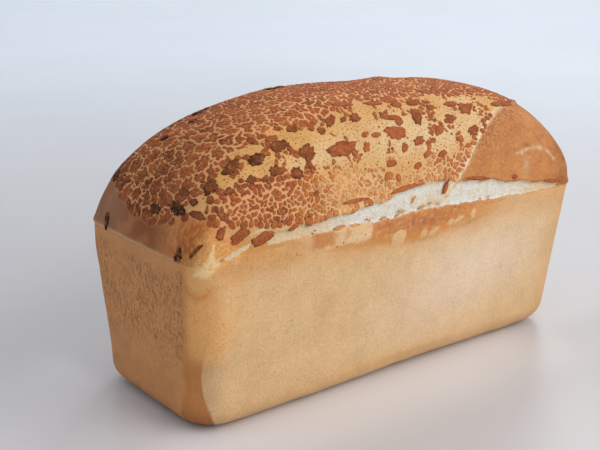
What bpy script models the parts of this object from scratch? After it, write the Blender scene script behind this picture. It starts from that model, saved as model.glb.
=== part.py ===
"""Tiger bread: a tall tin loaf under a rice paste crust that crackled into plates.

The loaf is one solid. Its lower half took the shape of the tin, with tapered walls, rounded
corners and a rounded foot. The crown above the rim carries the relief of the crust: plates of
paste parted by sunken veins, bare islands on the stretched band, the torn burst along the front
rim, the fold where the crackle ends and the low ridge at the rim of each end.

Metres, +Z up. The length runs along X, the long side with the burst faces -Y, and the origin
is under the middle of the foot. A place on the crown is given as x along the loaf and s, the
length of arc over the crown from the front rim.
"""
import math
import random

import bmesh
import bpy
import numpy as np
from mathutils import Vector, noise

# Size of the loaf
LENGTH = 0.280
WIDTH = 0.108
RIM_HEIGHT = 0.092
WALL_TAPER = 0.006            # each side, from the rim down to the foot
RIM_CORNER = 0.015
FOOT_CORNER = 0.020
FOOT_FILLET = 0.0125
CROWN_HEIGHTS = (0.0645, 0.067, 0.0665, 0.067, 0.0655, 0.064, 0.062, 0.0615, 0.063)
LEFT_END_POWER = 3.2          # how square the crown's profile is at the left end
RIGHT_END_POWER = 4.4
CROSS_POWER = 3.2

# Mesh
COLUMN_STEP = 0.0068          # between columns, along the crown's ridge
ROW_STEP = 0.0068             # between rows, over the crown
RIM_STEP = 0.0045             # first column or row from the rim
WALL_ROWS = 3
FILLET_ROWS = 3

# Crackle
JITTER = 0.27                 # how far a corner of a plate strays, in cells
STAGGER = 0.24                # shift of every second column along s, in cells
DRIFT = 0.0026                # slow bending of the rows and columns
DRIFT_SIZE = 0.024
VEIN = 0.0009                 # from a plate's edge to the middle of the vein
PLATE_RISE = 0.0010
SINGLE_SHARE = 0.30           # of the cells that stay small where pairs could join

# Islands of paste on the stretched band: x, s, length, width, turn in degrees
ISLANDS = (
    (-0.045, 0.0475, 0.0190, 0.0085, 18),
    (-0.008, 0.0490, 0.0150, 0.0090, -8),
    (-0.066, 0.0480, 0.0090, 0.0100, 0),
    (-0.086, 0.0545, 0.0100, 0.0090, -30),
    (-0.099, 0.0560, 0.0090, 0.0090, 0),
    (-0.109, 0.0590, 0.0110, 0.0080, 50),
    (-0.119, 0.0600, 0.0080, 0.0090, 20),
    (-0.052, 0.0560, 0.0070, 0.0090, 0),
    (-0.034, 0.0615, 0.0090, 0.0065, 10),
    (-0.041, 0.0645, 0.0090, 0.0060, -20),
    (-0.068, 0.0380, 0.0070, 0.0080, 0),
    (-0.083, 0.0440, 0.0085, 0.0075, 0),
    (0.009, 0.0560, 0.0070, 0.0095, 10),
    (0.012, 0.0420, 0.0080, 0.0070, 0),
    (0.036, 0.0535, 0.0095, 0.0075, -20),
    (0.048, 0.0600, 0.0110, 0.0085, 0),
    (0.052, 0.0460, 0.0085, 0.0070, 0),
    (0.028, 0.0470, 0.0085, 0.0065, 40),
    (-0.017, 0.0340, 0.0085, 0.0050, 0),
    (0.019, 0.0350, 0.0060, 0.0075, -20),
)
ISLAND_SINK = 0.0016          # how far an island reaches below the skin, to fuse with it

# Burst: the torn strip above the front rim, at even steps along the loaf
BURST_FROM = -0.100
BURST_TO = 0.120
BURST_TOP = (0.013, 0.012, 0.012, 0.0145, 0.017, 0.019, 0.0195, 0.0175, 0.0145, 0.0115, 0.007, 0.004)
BURST_FOOT = (0.007, 0.0065, 0.0075, 0.0065, 0.006, 0.0055, 0.0035, 0.003, 0.0028, 0.0025, 0.0018, 0.0015)
BURST_DEPTH = 0.0018
BURST_BANK = 0.0012           # width of the step at its two edges
BURST_LEAST = 0.0005          # of its floor, where the two edges come close
BURST_FADE = 0.022            # over which it comes and goes at its two ends
BURST_RAG = 0.0013            # how far its edges wander
BURST_RAG_SIZE = 0.011
LIP_RISE = 0.0008             # of the paste along the burst's top

# Stretched band, where the crackle drew apart over the front shoulder
BAND_MIDDLE = 0.051           # as s
BAND_SWAY = 0.006
BAND_SWAY_LENGTH = 0.050
BAND_HALF = 0.010             # half its width at the ends
BAND_SWELL = 0.013            # what the wide part adds to that
BAND_SWELL_X = 0.008
BAND_SWELL_LENGTH = 0.045

# Smooth skin that no crackle covers
LEFT_SKIN = 0.021             # height of the bare skin over the rim, at each end
RIGHT_SKIN = 0.030
END_SKIN_FROM = 0.110         # distance from the middle where that skin begins to rise
END_SKIN_FULL = 0.132
BACK_SKIN = 0.020             # width along s of the bare skin over the back rim
FRONT_SKIN = 0.002            # the same over the burst

# Fold: the crease from the rim to the ridge that ends the crackle, as x and s of its points
FOLD = ((0.023, 0.008), (0.038, 0.026), (0.052, 0.038), (0.072, 0.052), (0.094, 0.064), (0.118, 0.080))
FOLD_END = 0.084              # the s over which the crackle runs on to the right end
FOLD_RADIUS = 0.0013          # of the ridge that stands up along the fold
FOLD_POINTS = 16

# Ridge where the dough met the tin's edge, at both ends
RIDGE_RISE = 0.0008
RIDGE_WIDTH = 0.0025
RIDGE_REACH = 0.012           # from the end, over which it comes up

# Blisters of paste that ran down the front wall: x, drop below the rim, length, height
BLISTERS = (
    (-0.062, 0.0028, 0.0040, 0.0030),
    (-0.013, 0.0050, 0.0100, 0.0072),
    (0.010, 0.0085, 0.0115, 0.0048),
    (0.029, 0.0058, 0.0075, 0.0036),
    (0.037, 0.0030, 0.0080, 0.0042),
    (0.047, 0.0035, 0.0040, 0.0050),
)
BLISTER_RISE = 0.0009

# Swells and dents of the crown: x, s, radius, rise
SWELLS = (
    (0.012, 0.104, 0.020, 0.0011),
    (0.044, 0.100, 0.018, -0.0009),
    (0.074, 0.092, 0.018, 0.0008),
    (-0.084, 0.100, 0.022, 0.0007),
    (-0.030, 0.050, 0.024, -0.0007),
)
RIPPLE_RISE = 0.0005          # of the slow unevenness everywhere
RIPPLE_SIZE = 0.028
RIPPLE_FADE = 0.006           # height over the rim in which it comes up
WALL_WAVE = 0.0005            # unevenness of the walls
WALL_WAVE_SIZE = 0.055
FRONT_LIFT = 0.0012           # how far the fillet of the front rises, most at FRONT_LIFT_X
FRONT_LIFT_X = 0.020
FRONT_LIFT_LENGTH = 0.050

SEED = 11


def clear_scene():
    """Remove the objects that a new scene starts with."""
    for item in list(bpy.context.scene.objects):
        bpy.data.objects.remove(item, do_unlink=True)


def along(values, t):
    """Value at t, from 0 to 1, of the smooth curve through evenly spaced values."""
    spans = len(values) - 1
    place = min(max(t, 0.0), 1.0) * spans
    i = min(int(place), spans - 1)
    f = place - i
    here, there = values[i], values[i + 1]
    before = values[i - 1] if i else 2 * here - there
    after = values[i + 2] if i + 2 <= spans else 2 * there - here
    rise = (there - before) / 2
    fall = (after - here) / 2
    return (here * (2 * f**3 - 3 * f**2 + 1) + rise * (f**3 - 2 * f**2 + f)
            + there * (3 * f**2 - 2 * f**3) + fall * (f**3 - f**2))


def smooth_step(low, high, value):
    """0 below low, 1 above high, and a smooth change between them."""
    t = min(max((value - low) / (high - low), 0.0), 1.0)
    return t * t * (3 - 2 * t)


def crown_height(x):
    """Height of the crown's ridge over the rim."""
    return along(CROWN_HEIGHTS, x / LENGTH + 0.5)


def end_share(x):
    """How much of the height is left at x, squared: 1 in the middle, 0 at the two ends."""
    power = LEFT_END_POWER if x < 0 else RIGHT_END_POWER
    return max(0.0, 1 - abs(2 * x / LENGTH) ** power)


def cross_share(y):
    """The same across the loaf."""
    return max(0.0, 1 - abs(2 * y / WIDTH) ** CROSS_POWER)


def round_corner(x, y, half_length, half_width, radius):
    """Move a point of a square-cornered plan to the plan with round corners."""
    over_x = abs(x) - (half_length - radius)
    over_y = abs(y) - (half_width - radius)
    if over_x <= 0 or over_y <= 0:
        return x, y
    share = max(over_x, over_y) / math.hypot(over_x, over_y)
    return (math.copysign(half_length - radius + over_x * share, x),
            math.copysign(half_width - radius + over_y * share, y))


def square_corner(x, y):
    """The way back from round_corner at the rim."""
    over_x = abs(x) - (LENGTH / 2 - RIM_CORNER)
    over_y = abs(y) - (WIDTH / 2 - RIM_CORNER)
    if over_x <= 0 or over_y <= 0:
        return x, y
    share = math.hypot(over_x, over_y) / max(over_x, over_y)
    return (math.copysign(LENGTH / 2 - RIM_CORNER + over_x * share, x),
            math.copysign(WIDTH / 2 - RIM_CORNER + over_y * share, y))


def crown_level(point):
    """Zero on the smooth crown and positive outside it, in square metres."""
    x, y = square_corner(point.x, point.y)
    return (point.z - RIM_HEIGHT) ** 2 - crown_height(x) ** 2 * end_share(x) * cross_share(y)


def crown_slope(point, reach=0.00005):
    """Gradient of crown_level."""
    steps = [Vector(reach if axis == k else 0.0 for axis in range(3)) for k in range(3)]
    return Vector((crown_level(point + step) - crown_level(point - step)) / (2 * reach)
                  for step in steps)


def lay_on_crown(point):
    """Move a point near the crown onto it, and give the outward direction there."""
    for _ in range(4):
        slope = crown_slope(point)
        point = point - slope * (crown_level(point) / max(slope.length_squared, 1e-12))
    return point, crown_slope(point).normalized()


def cross_rise(y):
    """Profile over the middle of the loaf."""
    return crown_height(0) * math.sqrt(cross_share(y))


def length_rise(x):
    """Profile along the ridge."""
    return crown_height(x) * math.sqrt(end_share(x))


def measure_profile(rise, half_width):
    """Places across a profile of the crown, and the length of arc from its start to each."""
    across = half_width * np.sin(np.linspace(-math.pi / 2, math.pi / 2, PROFILE_POINTS))
    heights = np.array([rise(place) for place in across])
    arc = np.cumsum(np.hypot(np.diff(across), np.diff(heights)))
    return across, np.concatenate([[0.0], arc])


def even_marks(length, count):
    """Arc lengths of count steps: a short first and last one and even steps between them."""
    inner = np.linspace(RIM_STEP, length - RIM_STEP, count - 1)
    return np.concatenate([[0.0], inner, [length]])


PROFILE_POINTS = 2001
ACROSS, ARC = measure_profile(cross_rise, WIDTH / 2)
ALONG, RIDGE_ARC = measure_profile(length_rise, LENGTH / 2)
COLUMNS = round(RIDGE_ARC[-1] / COLUMN_STEP)
COLUMN_PLACES = np.interp(even_marks(RIDGE_ARC[-1], COLUMNS), RIDGE_ARC, ALONG)
FRONT_ROWS = 4                # the rows that follow the burst's two edges
ROWS_BEHIND = round((ARC[-1] - max(BURST_TOP)) / ROW_STEP)
ROWS = FRONT_ROWS + ROWS_BEHIND


def crown_point(x, s):
    """Point of the smooth crown at x and s."""
    y = float(np.interp(s, ARC, ACROSS))
    height = RIM_HEIGHT + crown_height(x) * math.sqrt(end_share(x) * cross_share(y))
    return Vector((*round_corner(x, y, LENGTH / 2, WIDTH / 2, RIM_CORNER), height))


def burst_strength(x):
    """1 along the burst, 0 where there is none."""
    return (smooth_step(BURST_FROM, BURST_FROM + BURST_FADE, x)
            * (1 - smooth_step(BURST_TO - BURST_FADE, BURST_TO, x)))


def burst_edges(x):
    """The two ragged edges of the burst, as s."""
    t = (x - BURST_FROM) / (BURST_TO - BURST_FROM)
    rag = BURST_RAG * noise.noise(Vector((x / BURST_RAG_SIZE, 0.5, SEED)))
    return along(BURST_FOOT, t) - rag / 2, along(BURST_TOP, t) + rag


def row_arcs(x):
    """The s of every row at x: the burst's rows and then even steps to the back rim."""
    foot, top = burst_edges(x)
    top = max(top, foot + 2 * BURST_BANK + BURST_LEAST)
    front = [0.0, foot, foot + BURST_BANK, top - BURST_BANK]
    behind = np.linspace(top, ARC[-1] - RIM_STEP, ROWS_BEHIND)
    return front + list(behind) + [ARC[-1]]


def past_fold(x, s):
    """Whether a place is on the smooth side of the fold."""
    fold_x = float(np.interp(s, [place[1] for place in FOLD], [place[0] for place in FOLD]))
    return x > fold_x and s < FOLD_END


def on_band(x, s):
    """Whether a place is on the stretched band."""
    middle = BAND_MIDDLE + BAND_SWAY * math.cos(x / BAND_SWAY_LENGTH)
    swell = BAND_SWELL * math.exp(-((x - BAND_SWELL_X) / BAND_SWELL_LENGTH) ** 2)
    return abs(s - middle) < BAND_HALF + swell


def has_plates(x, s, height):
    """Whether the crackle covers the crown at this place."""
    end_skin = LEFT_SKIN if x < 0 else RIGHT_SKIN
    bare = RIM_HEIGHT + end_skin * smooth_step(END_SKIN_FROM, END_SKIN_FULL, abs(x))
    if height < bare or past_fold(x, s) or on_band(x, s):
        return False
    return burst_edges(x)[1] + FRONT_SKIN < s < ARC[-1] - BACK_SKIN


def crown_relief(x, s, height):
    """Rise of the skin over the smooth crown, without plates."""
    spot = Vector((x, s, 0.0)) / RIPPLE_SIZE
    rise = RIPPLE_RISE * noise.noise(spot + Vector((0, 0, SEED)))
    for swell_x, swell_s, radius, swell in SWELLS:
        gap = math.hypot(x - swell_x, s - swell_s) / radius
        rise += swell * math.exp(-gap * gap)
    over_rim = height - RIM_HEIGHT
    near_end = smooth_step(LENGTH / 2 - RIDGE_REACH, LENGTH / 2 - RIDGE_REACH / 3, abs(x))
    ridge = math.exp(-(over_rim / RIDGE_WIDTH) ** 2) * near_end
    return rise * smooth_step(0.0, RIPPLE_FADE, over_rim) + RIDGE_RISE * ridge


def burst_relief(x, row):
    """Rise of a burst row: sunk between the two edges, with a lip over the upper one."""
    strength = burst_strength(x)
    if row in (2, 3):
        return -BURST_DEPTH * strength
    return LIP_RISE * strength if row == FRONT_ROWS else 0.0


def tin_cube():
    """A cube of side 2 cut into the columns, rows and wall rows of the loaf."""
    bm = bmesh.new()
    bmesh.ops.create_cube(bm, size=2.0)
    for axis, parts in ((0, COLUMNS), (1, ROWS), (2, WALL_ROWS + FILLET_ROWS)):
        edges = [e for e in bm.edges if abs(e.verts[0].co[axis] - e.verts[1].co[axis]) > 1.0]
        bmesh.ops.subdivide_edges(bm, edges=edges, cuts=parts - 1, use_grid_fill=True)
    floor = [f for f in bm.faces if all(v.co.z < -0.999 for v in f.verts)]
    bmesh.ops.dissolve_faces(bm, faces=floor, use_verts=True)
    return bm


def wall_heights():
    """Heights of the wall rows, from the foot up to the rim."""
    turns = [math.pi / 2 * k / FILLET_ROWS for k in range(FILLET_ROWS + 1)]
    fillet = [FOOT_FILLET * (1 - math.cos(turn)) for turn in turns]
    return fillet + list(np.linspace(FOOT_FILLET, RIM_HEIGHT, WALL_ROWS + 1)[1:])


def wall_point(x, y, height):
    """Point of the wall at a height, under the rim point x, y of the square-cornered plan."""
    down = 1 - height / RIM_HEIGHT
    under = max(FOOT_FILLET - height, 0.0)
    cut = FOOT_FILLET - math.sqrt(FOOT_FILLET**2 - under**2)
    drawn_in = WALL_TAPER * down + cut
    half_length = LENGTH / 2 - drawn_in
    half_width = WIDTH / 2 - drawn_in
    radius = RIM_CORNER + (FOOT_CORNER - RIM_CORNER) * down - cut / 2
    plan = round_corner(x * 2 * half_length / LENGTH, y * 2 * half_width / WIDTH,
                        half_length, half_width, radius)
    point = Vector((*plan, height))
    if 0 < height < RIM_HEIGHT:
        wave = WALL_WAVE * noise.noise(point / WALL_WAVE_SIZE + Vector((0, 0, SEED)))
        point += Vector((x / LENGTH, y / WIDTH, 0)).normalized() * wave
        front = y < -WIDTH / 2 + 1e-6
        if front and under:
            point.z += FRONT_LIFT * math.exp(-((x - FRONT_LIFT_X) / FRONT_LIFT_LENGTH) ** 2)
    return point


def shape_loaf(bm):
    """Move the cut cube's corners onto the loaf, and return each crown vertex's x and s."""
    levels = wall_heights()
    rng = random.Random(SEED)
    places = {}
    for vert in bm.verts:
        column = round((vert.co.x + 1) / 2 * COLUMNS)
        row = round((vert.co.y + 1) / 2 * ROWS)
        level = round((vert.co.z + 1) / 2 * (WALL_ROWS + FILLET_ROWS))
        x = float(COLUMN_PLACES[column])
        arcs = row_arcs(x)
        if vert.co.z < 0.999:
            y = float(np.interp(arcs[row], ARC, ACROSS))
            vert.co = wall_point(x, y, levels[level])
            continue
        s = arcs[row]
        if 1 < column < COLUMNS - 1 and FRONT_ROWS < row < ROWS - 1:
            x, s = stray(x, s, column, rng)
        places[vert] = (x, s)
        raise_vertex(vert, x, s, row)
    return places


def stray(x, s, column, rng):
    """Move a corner of the crackle off its row and column."""
    width = (COLUMN_PLACES[column + 1] - COLUMN_PLACES[column - 1]) / 2
    share = width / COLUMN_STEP
    spot = Vector((x, s, 0.0)) / DRIFT_SIZE
    x += share * DRIFT * noise.noise(spot + Vector((7, 0, 0))) + width * JITTER * rng.uniform(-1, 1)
    s += DRIFT * noise.noise(spot + Vector((0, 7, 0))) + ROW_STEP * JITTER * rng.uniform(-1, 1)
    s += ROW_STEP * STAGGER * (0.5 if column % 2 else -0.5)
    return x, s


def raise_vertex(vert, x, s, row):
    """Set a crown vertex on the crown with its relief. The rim's own rise is along X."""
    point = crown_point(x, s)
    rise = crown_relief(x, s, point.z) + burst_relief(x, row)
    if 0.0 < s < ARC[-1] and abs(x) < LENGTH / 2:
        vert.co = point + crown_slope(point).normalized() * rise
    else:
        into_corner = (abs(x) - LENGTH / 2 + RIM_CORNER) / RIM_CORNER
        vert.co = point + Vector((math.copysign(rise, x) * max(0.0, into_corner), 0.0, 0.0))


def face_place(face, places):
    """Mean x, s and height of a crown face, or None for any other face."""
    if any(v not in places for v in face.verts):
        return None
    count = len(face.verts)
    x = sum(places[v][0] for v in face.verts) / count
    s = sum(places[v][1] for v in face.verts) / count
    return x, s, face.calc_center_median().z


def cut_plates(bm, places):
    """Join cells into plates of unlike sizes, then raise them out of a net of veins."""
    cells = set()
    for face in bm.faces:
        place = face_place(face, places)
        if place and has_plates(*place):
            cells.add(face)
    join_cells(bm, cells)
    plates = []
    for face in bm.faces:
        place = face_place(face, places)
        if place and has_plates(*place):
            plates.append(face)
    bmesh.ops.inset_individual(bm, faces=plates, thickness=VEIN, depth=PLATE_RISE,
                               use_even_offset=True)


def join_cells(bm, cells):
    """Join groups of four cells at their common corner, and pairs at their common edge."""
    rng = random.Random(SEED)
    corners = [v for v in bm.verts if len(v.link_faces) == 4 and all(f in cells for f in v.link_faces)]
    rng.shuffle(corners)
    taken = set()
    inner = []
    for vert in corners:
        if not taken.intersection(vert.link_faces):
            taken.update(vert.link_faces)
            inner.append(vert)
    shared = []
    sides = [e for e in bm.edges if all(f in cells for f in e.link_faces)]
    rng.shuffle(sides)
    for edge in sides:
        if not taken.intersection(edge.link_faces) and rng.random() > SINGLE_SHARE:
            taken.update(edge.link_faces)
            shared.append(edge)
    bmesh.ops.dissolve_verts(bm, verts=inner)
    bmesh.ops.dissolve_edges(bm, edges=shared, use_verts=False)


def crust_material():
    """Matt golden brown of the baked skin."""
    material = bpy.data.materials.new("baked_crust")
    material.use_nodes = True
    shader = material.node_tree.nodes["Principled BSDF"]
    shader.inputs["Base Color"].default_value = (0.56, 0.30, 0.14, 1.0)
    shader.inputs["Roughness"].default_value = 0.62
    shader.inputs["Metallic"].default_value = 0.0
    return material


def mesh_object(bm, name, collection):
    """Turn a bmesh into an object of a collection."""
    bmesh.ops.triangulate(bm, faces=bm.faces[:], quad_method="BEAUTY", ngon_method="BEAUTY")
    bmesh.ops.recalc_face_normals(bm, faces=bm.faces[:])
    mesh = bpy.data.meshes.new(name)
    bm.to_mesh(mesh)
    bm.free()
    item = bpy.data.objects.new(name, mesh)
    collection.objects.link(item)
    return item


def make_island(number, place, collection):
    """One ragged flake of paste, bent to the crown and sunk into its skin."""
    x, s, length, width, turn = place
    rng = random.Random(SEED * 100 + number)
    sides = 12 if length > 0.012 else 9
    middle, out = lay_on_crown(crown_point(x, s))
    forward = (Vector((1, 0, 0)) - out * out.x).normalized()
    up = out.cross(forward)
    bm = bmesh.new()
    bmesh.ops.create_cone(bm, cap_ends=True, cap_tris=True, segments=sides,
                          radius1=1.0, radius2=0.90, depth=2.0)
    turned = math.radians(turn)
    ragged = [rng.uniform(0.82, 1.18) for _ in range(sides)]
    for vert in bm.verts:
        side = round(math.atan2(vert.co.y, vert.co.x) / (2 * math.pi) * sides) % sides
        reach = math.hypot(vert.co.x, vert.co.y) * ragged[side]
        angle = math.atan2(vert.co.y, vert.co.x)
        u = reach * math.cos(angle) * length / 2
        v = reach * math.sin(angle) * width / 2
        flat = (middle + forward * (u * math.cos(turned) - v * math.sin(turned))
                + up * (u * math.sin(turned) + v * math.cos(turned)))
        point, away = lay_on_crown(flat)
        rise = PLATE_RISE + crown_relief(x, s, point.z) if vert.co.z > 0 else -ISLAND_SINK
        vert.co = point + away * rise
    return mesh_object(bm, f"island_{number:02d}", collection)


def make_blister(number, place, collection):
    """A low round blister, half sunk into the front wall."""
    x, drop, length, height = place
    bm = bmesh.new()
    bmesh.ops.create_uvsphere(bm, u_segments=9, v_segments=6, radius=0.5)
    bmesh.ops.scale(bm, verts=bm.verts[:], vec=(length, 2 * BLISTER_RISE, height))
    middle = wall_point(x, -WIDTH / 2, RIM_HEIGHT - drop)
    bmesh.ops.translate(bm, verts=bm.verts[:], vec=middle)
    return mesh_object(bm, f"blister_{number}", collection)


def make_fold(collection):
    """The thin ridge along the fold, a tube half sunk into the skin."""
    curve = bpy.data.curves.new("fold", "CURVE")
    curve.dimensions = "3D"
    curve.bevel_depth = FOLD_RADIUS
    curve.bevel_resolution = 1
    curve.use_fill_caps = True
    spline = curve.splines.new("POLY")
    spline.points.add(FOLD_POINTS - 1)
    for k, point in enumerate(spline.points):
        t = k / (FOLD_POINTS - 1)
        x = along([place[0] for place in FOLD], t)
        s = along([place[1] for place in FOLD], t)
        point.co = (*crown_point(x, s), 1.0)
        point.radius = 0.35 + 0.65 * math.sin(math.pi * t)
    tube = bpy.data.objects.new("fold_tube", curve)
    collection.objects.link(tube)
    bpy.context.view_layer.update()
    drawn = tube.evaluated_get(bpy.context.evaluated_depsgraph_get())
    bm = bmesh.new()
    bm.from_mesh(bpy.data.meshes.new_from_object(drawn))
    bmesh.ops.remove_doubles(bm, verts=bm.verts[:], dist=0.00001)
    bpy.data.objects.remove(tube, do_unlink=True)
    return mesh_object(bm, "fold_ridge", collection)


def fuse(loaf, flakes):
    """Join the islands and blisters to the loaf with one union, and remove their objects."""
    union = loaf.modifiers.new("fused_flakes", "BOOLEAN")
    union.operation = "UNION"
    union.operand_type = "COLLECTION"
    union.collection = flakes
    union.solver = "EXACT"
    bpy.context.view_layer.update()
    fused = loaf.evaluated_get(bpy.context.evaluated_depsgraph_get())
    mesh = bpy.data.meshes.new_from_object(fused)
    loaf.modifiers.remove(union)
    loaf.data = mesh
    for flake in list(flakes.objects):
        bpy.data.objects.remove(flake, do_unlink=True)
    bpy.data.collections.remove(flakes)


def tidy_mesh(loaf):
    """Merge the slivers that the union left, and split what remains into triangles."""
    bm = bmesh.new()
    bm.from_mesh(loaf.data)
    bmesh.ops.remove_doubles(bm, verts=bm.verts[:], dist=0.00002)
    bmesh.ops.dissolve_degenerate(bm, edges=bm.edges[:], dist=0.00002)
    bmesh.ops.triangulate(bm, faces=bm.faces[:], quad_method="BEAUTY", ngon_method="BEAUTY")
    bm.to_mesh(loaf.data)
    bm.free()


def new_collection(name):
    """Add a collection to the scene."""
    collection = bpy.data.collections.new(name)
    bpy.context.scene.collection.children.link(collection)
    return collection


def main():
    clear_scene()
    parts = new_collection("tiger_bread_loaf")
    flakes = new_collection("flakes_to_fuse")
    bm = tin_cube()
    places = shape_loaf(bm)
    cut_plates(bm, places)
    loaf = mesh_object(bm, "loaf", parts)
    for number, place in enumerate(ISLANDS):
        make_island(number, place, flakes)
    for number, place in enumerate(BLISTERS):
        make_blister(number, place, flakes)
    make_fold(flakes)
    fuse(loaf, flakes)
    tidy_mesh(loaf)
    loaf.data.materials.clear()
    loaf.data.materials.append(crust_material())
    loaf.data.shade_smooth()
    loaf.data.set_sharp_from_angle(angle=math.radians(35))


main()
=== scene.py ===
"""Tiger bread: the baked skin, the crackled rice paste on its crown, and a studio to look at it.

The skin replaces the plain loaf and keeps its form. The paste lies on it as separate plates,
thousands of small ones parted by veins and some ninety large ones that the stretched dough
carried apart. Metres, +Z up. A place on the crown is x along the loaf and s, the length of arc
over the crown from the front rim.
"""
import math
import random

import bmesh
import bpy
import numpy as np
from bpy.props import FloatProperty, FloatVectorProperty, IntProperty, PointerProperty
from mathutils import Matrix, Vector, kdtree, noise


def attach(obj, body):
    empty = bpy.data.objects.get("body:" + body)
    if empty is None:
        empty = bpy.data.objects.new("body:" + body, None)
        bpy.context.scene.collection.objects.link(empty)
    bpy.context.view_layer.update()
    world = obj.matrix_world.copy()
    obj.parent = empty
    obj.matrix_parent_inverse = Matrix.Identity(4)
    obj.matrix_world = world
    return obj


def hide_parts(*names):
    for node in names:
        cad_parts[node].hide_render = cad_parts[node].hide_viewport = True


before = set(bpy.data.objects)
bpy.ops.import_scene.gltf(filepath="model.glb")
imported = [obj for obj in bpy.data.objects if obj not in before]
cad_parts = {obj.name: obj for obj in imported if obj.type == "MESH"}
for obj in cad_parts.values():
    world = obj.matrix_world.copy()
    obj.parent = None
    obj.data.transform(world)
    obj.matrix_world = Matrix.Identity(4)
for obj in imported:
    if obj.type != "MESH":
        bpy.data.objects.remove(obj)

bl_info = {
    "name": "Tiger Bread Loaf",
    "version": (1, 0, 0),
    "blender": (4, 5, 0),
    "location": "View3D > Sidebar > Tiger Bread",
    "description": "Dresses a tin loaf with baked skin and a crackled rice paste crust",
    "category": "Object",
}

MM = 0.001

# Form of the loaf
LENGTH = 0.280
WIDTH = 0.108
RIM_HEIGHT = 0.092
WALL_TAPER = 0.006
RIM_CORNER = 0.015
FOOT_CORNER = 0.020
FOOT_FILLET = 0.0125
TIGHT_CORNER = 0.0035         # how much tighter the back left corner is
END_FOOT_RISE = 0.0007        # how far the foot of the left end stands out
CROWN_HEIGHTS = (0.0645, 0.067, 0.0665, 0.067, 0.0655, 0.064, 0.062, 0.0615, 0.063)
LEFT_END_POWER = 3.2
RIGHT_END_POWER = 4.4
CROSS_POWER = 3.2
CORNER_REACH = 0.014          # how far the front corners of the crown are filled out
CORNER_FILL = 0.6
PROFILE_POINTS = 2001
SEED = 11

# Slow relief of the crown and the walls
SWELLS = (                    # x, s, radius, rise
    (0.014, 0.106, 0.018, -0.0010),
    (0.044, 0.097, 0.015, -0.0034),
    (0.044, 0.086, 0.012, -0.0022),
    (0.037, 0.114, 0.009, 0.0012),
    (0.074, 0.092, 0.018, 0.0004),
    (-0.026, 0.106, 0.016, -0.0018),
    (-0.054, 0.112, 0.016, -0.0006),
    (-0.085, 0.114, 0.020, -0.0014),
    (-0.030, 0.050, 0.024, -0.0007),
)
RIPPLE_RISE = 0.0005
RIPPLE_SIZE = 0.028
RIPPLE_FADE = 0.006
RIDGE_RISE = 0.0008
RIDGE_WIDTH = 0.0025
RIDGE_REACH = 0.012
WALL_WAVE = 0.0005
WALL_WAVE_SIZE = 0.055
FRONT_LIFT = 0.0012
FRONT_LIFT_X = 0.020
FRONT_LIFT_LENGTH = 0.050
FOOT_WAVE = 0.0008             # unevenness of the front foot
FOOT_WAVE_SIZE = 0.024

# Torn strip over the front rim, at even steps along the loaf
BURST_FROM = -0.100
BURST_TO = 0.120
BURST_TOP = (0.0130, 0.0128, 0.0125, 0.0135, 0.0158, 0.0188,
             0.0190, 0.0166, 0.0138, 0.0108, 0.0074, 0.0035)
BURST_FOOT = (0.0070, 0.0065, 0.0060, 0.0058, 0.0045, 0.0056,
              0.0052, 0.0034, 0.0022, 0.0014, 0.0006, 0.0003)
BURST_DEPTH = 0.0012
BURST_FADE = 0.022
BURST_RAG = 0.0013
BURST_RAG_SIZE = 0.011
FOOT_RAG = 0.0009             # how far small bites at its lower edge reach
NOT_TORN = -0.004             # stored where no torn dough is near
LIP_RISE = 0.0008
LIP_WIDTH = 0.0016

# Small tears beside it: x, s, length, width, turn in degrees
TEARS = (
    (-0.1186, 0.0083, 0.0205, 0.0038, 20),
    (-0.0970, 0.0178, 0.022, 0.0024, 3),
    (-0.0865, 0.0088, 0.018, 0.0024, 10),
    (-0.0740, 0.0165, 0.012, 0.0020, 10),
)

# Stretched band over the front shoulder: its two edges as s, at even steps along the loaf
BAND_FROM = -0.130
BAND_TO = 0.090
BAND_LOW = (0.056, 0.050, 0.043, 0.039, 0.033, 0.028, 0.025, 0.027, 0.033, 0.040, 0.049, 0.058)
BAND_HIGH = (0.062, 0.066, 0.067, 0.066, 0.067, 0.070, 0.071, 0.071, 0.071, 0.070, 0.069, 0.066)

# Fold that ends the crackle at the right, as x and s of its points
FOLD = ((0.019, 0.007), (0.0405, 0.026), (0.0555, 0.0415),
        (0.0755, 0.0560), (0.096, 0.066), (0.118, 0.080))
FOLD_FADE = (0.134, 0.100)    # where the edge of the smooth skin goes on behind it
SEAM = 0.0014                 # bare margin beside it
FOLD_RISE = 0.0008
FOLD_WIDTH = 0.0010
FOLD_WANDER = 0.0007          # how far it strays from its line
FOLD_WANDER_SIZE = 0.0065
FOLD_STEPS = 90
STRAND_WIDTH = 0.0022         # of the fold's skin where it crosses the torn dough

# Small plates
PLATE_SIZE = 0.0024
VEIN_WIDTH = 0.00095
CRACK_WIDTH = 0.00060         # of the open cracks in a group
CRACK_OVERLAP = 0.00003       # how far the sides of a closed crack run into each other
SPACING_SPREAD = (0.75, 1.25)
BAND_LOSS = 0.62              # share of the groups that are missing on the stretched band
OUTLINE_STEP = 0.00082
LEAST_AREA = 2.5e-7
PLATE_TRIES = 80000           # places drawn, of which those with enough room are kept
GROUP_TRIES = 9000
GRAIN_TRIES = 40000
WIDEST_PLATE = 0.0032         # over any spacing that plates can have
WIDEST_GROUP = 0.0085
WIDEST_GRAIN = 0.0026
GRAIN_SPACING = 0.0016
PLATE_PACKING = 0.86          # spacing of plates as a share of their size
SLAB_FOOT = -0.0005           # height of a plate's foot, inside the skin
SLAB_BEVEL = 0.00013
GRAIN_RISE = 0.00016
GRAIN_RAG = 0.00008
GRAIN_BEVEL = 0.00007
CRACKLE_CUTS = (0.0, 0.048, 0.086, 0.120, 1.0)        # s where the crackle is cut into pieces
CRACKLE_NAMES = ("crackle_front", "crackle_shoulder", "crackle_top", "crackle_back")
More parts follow.
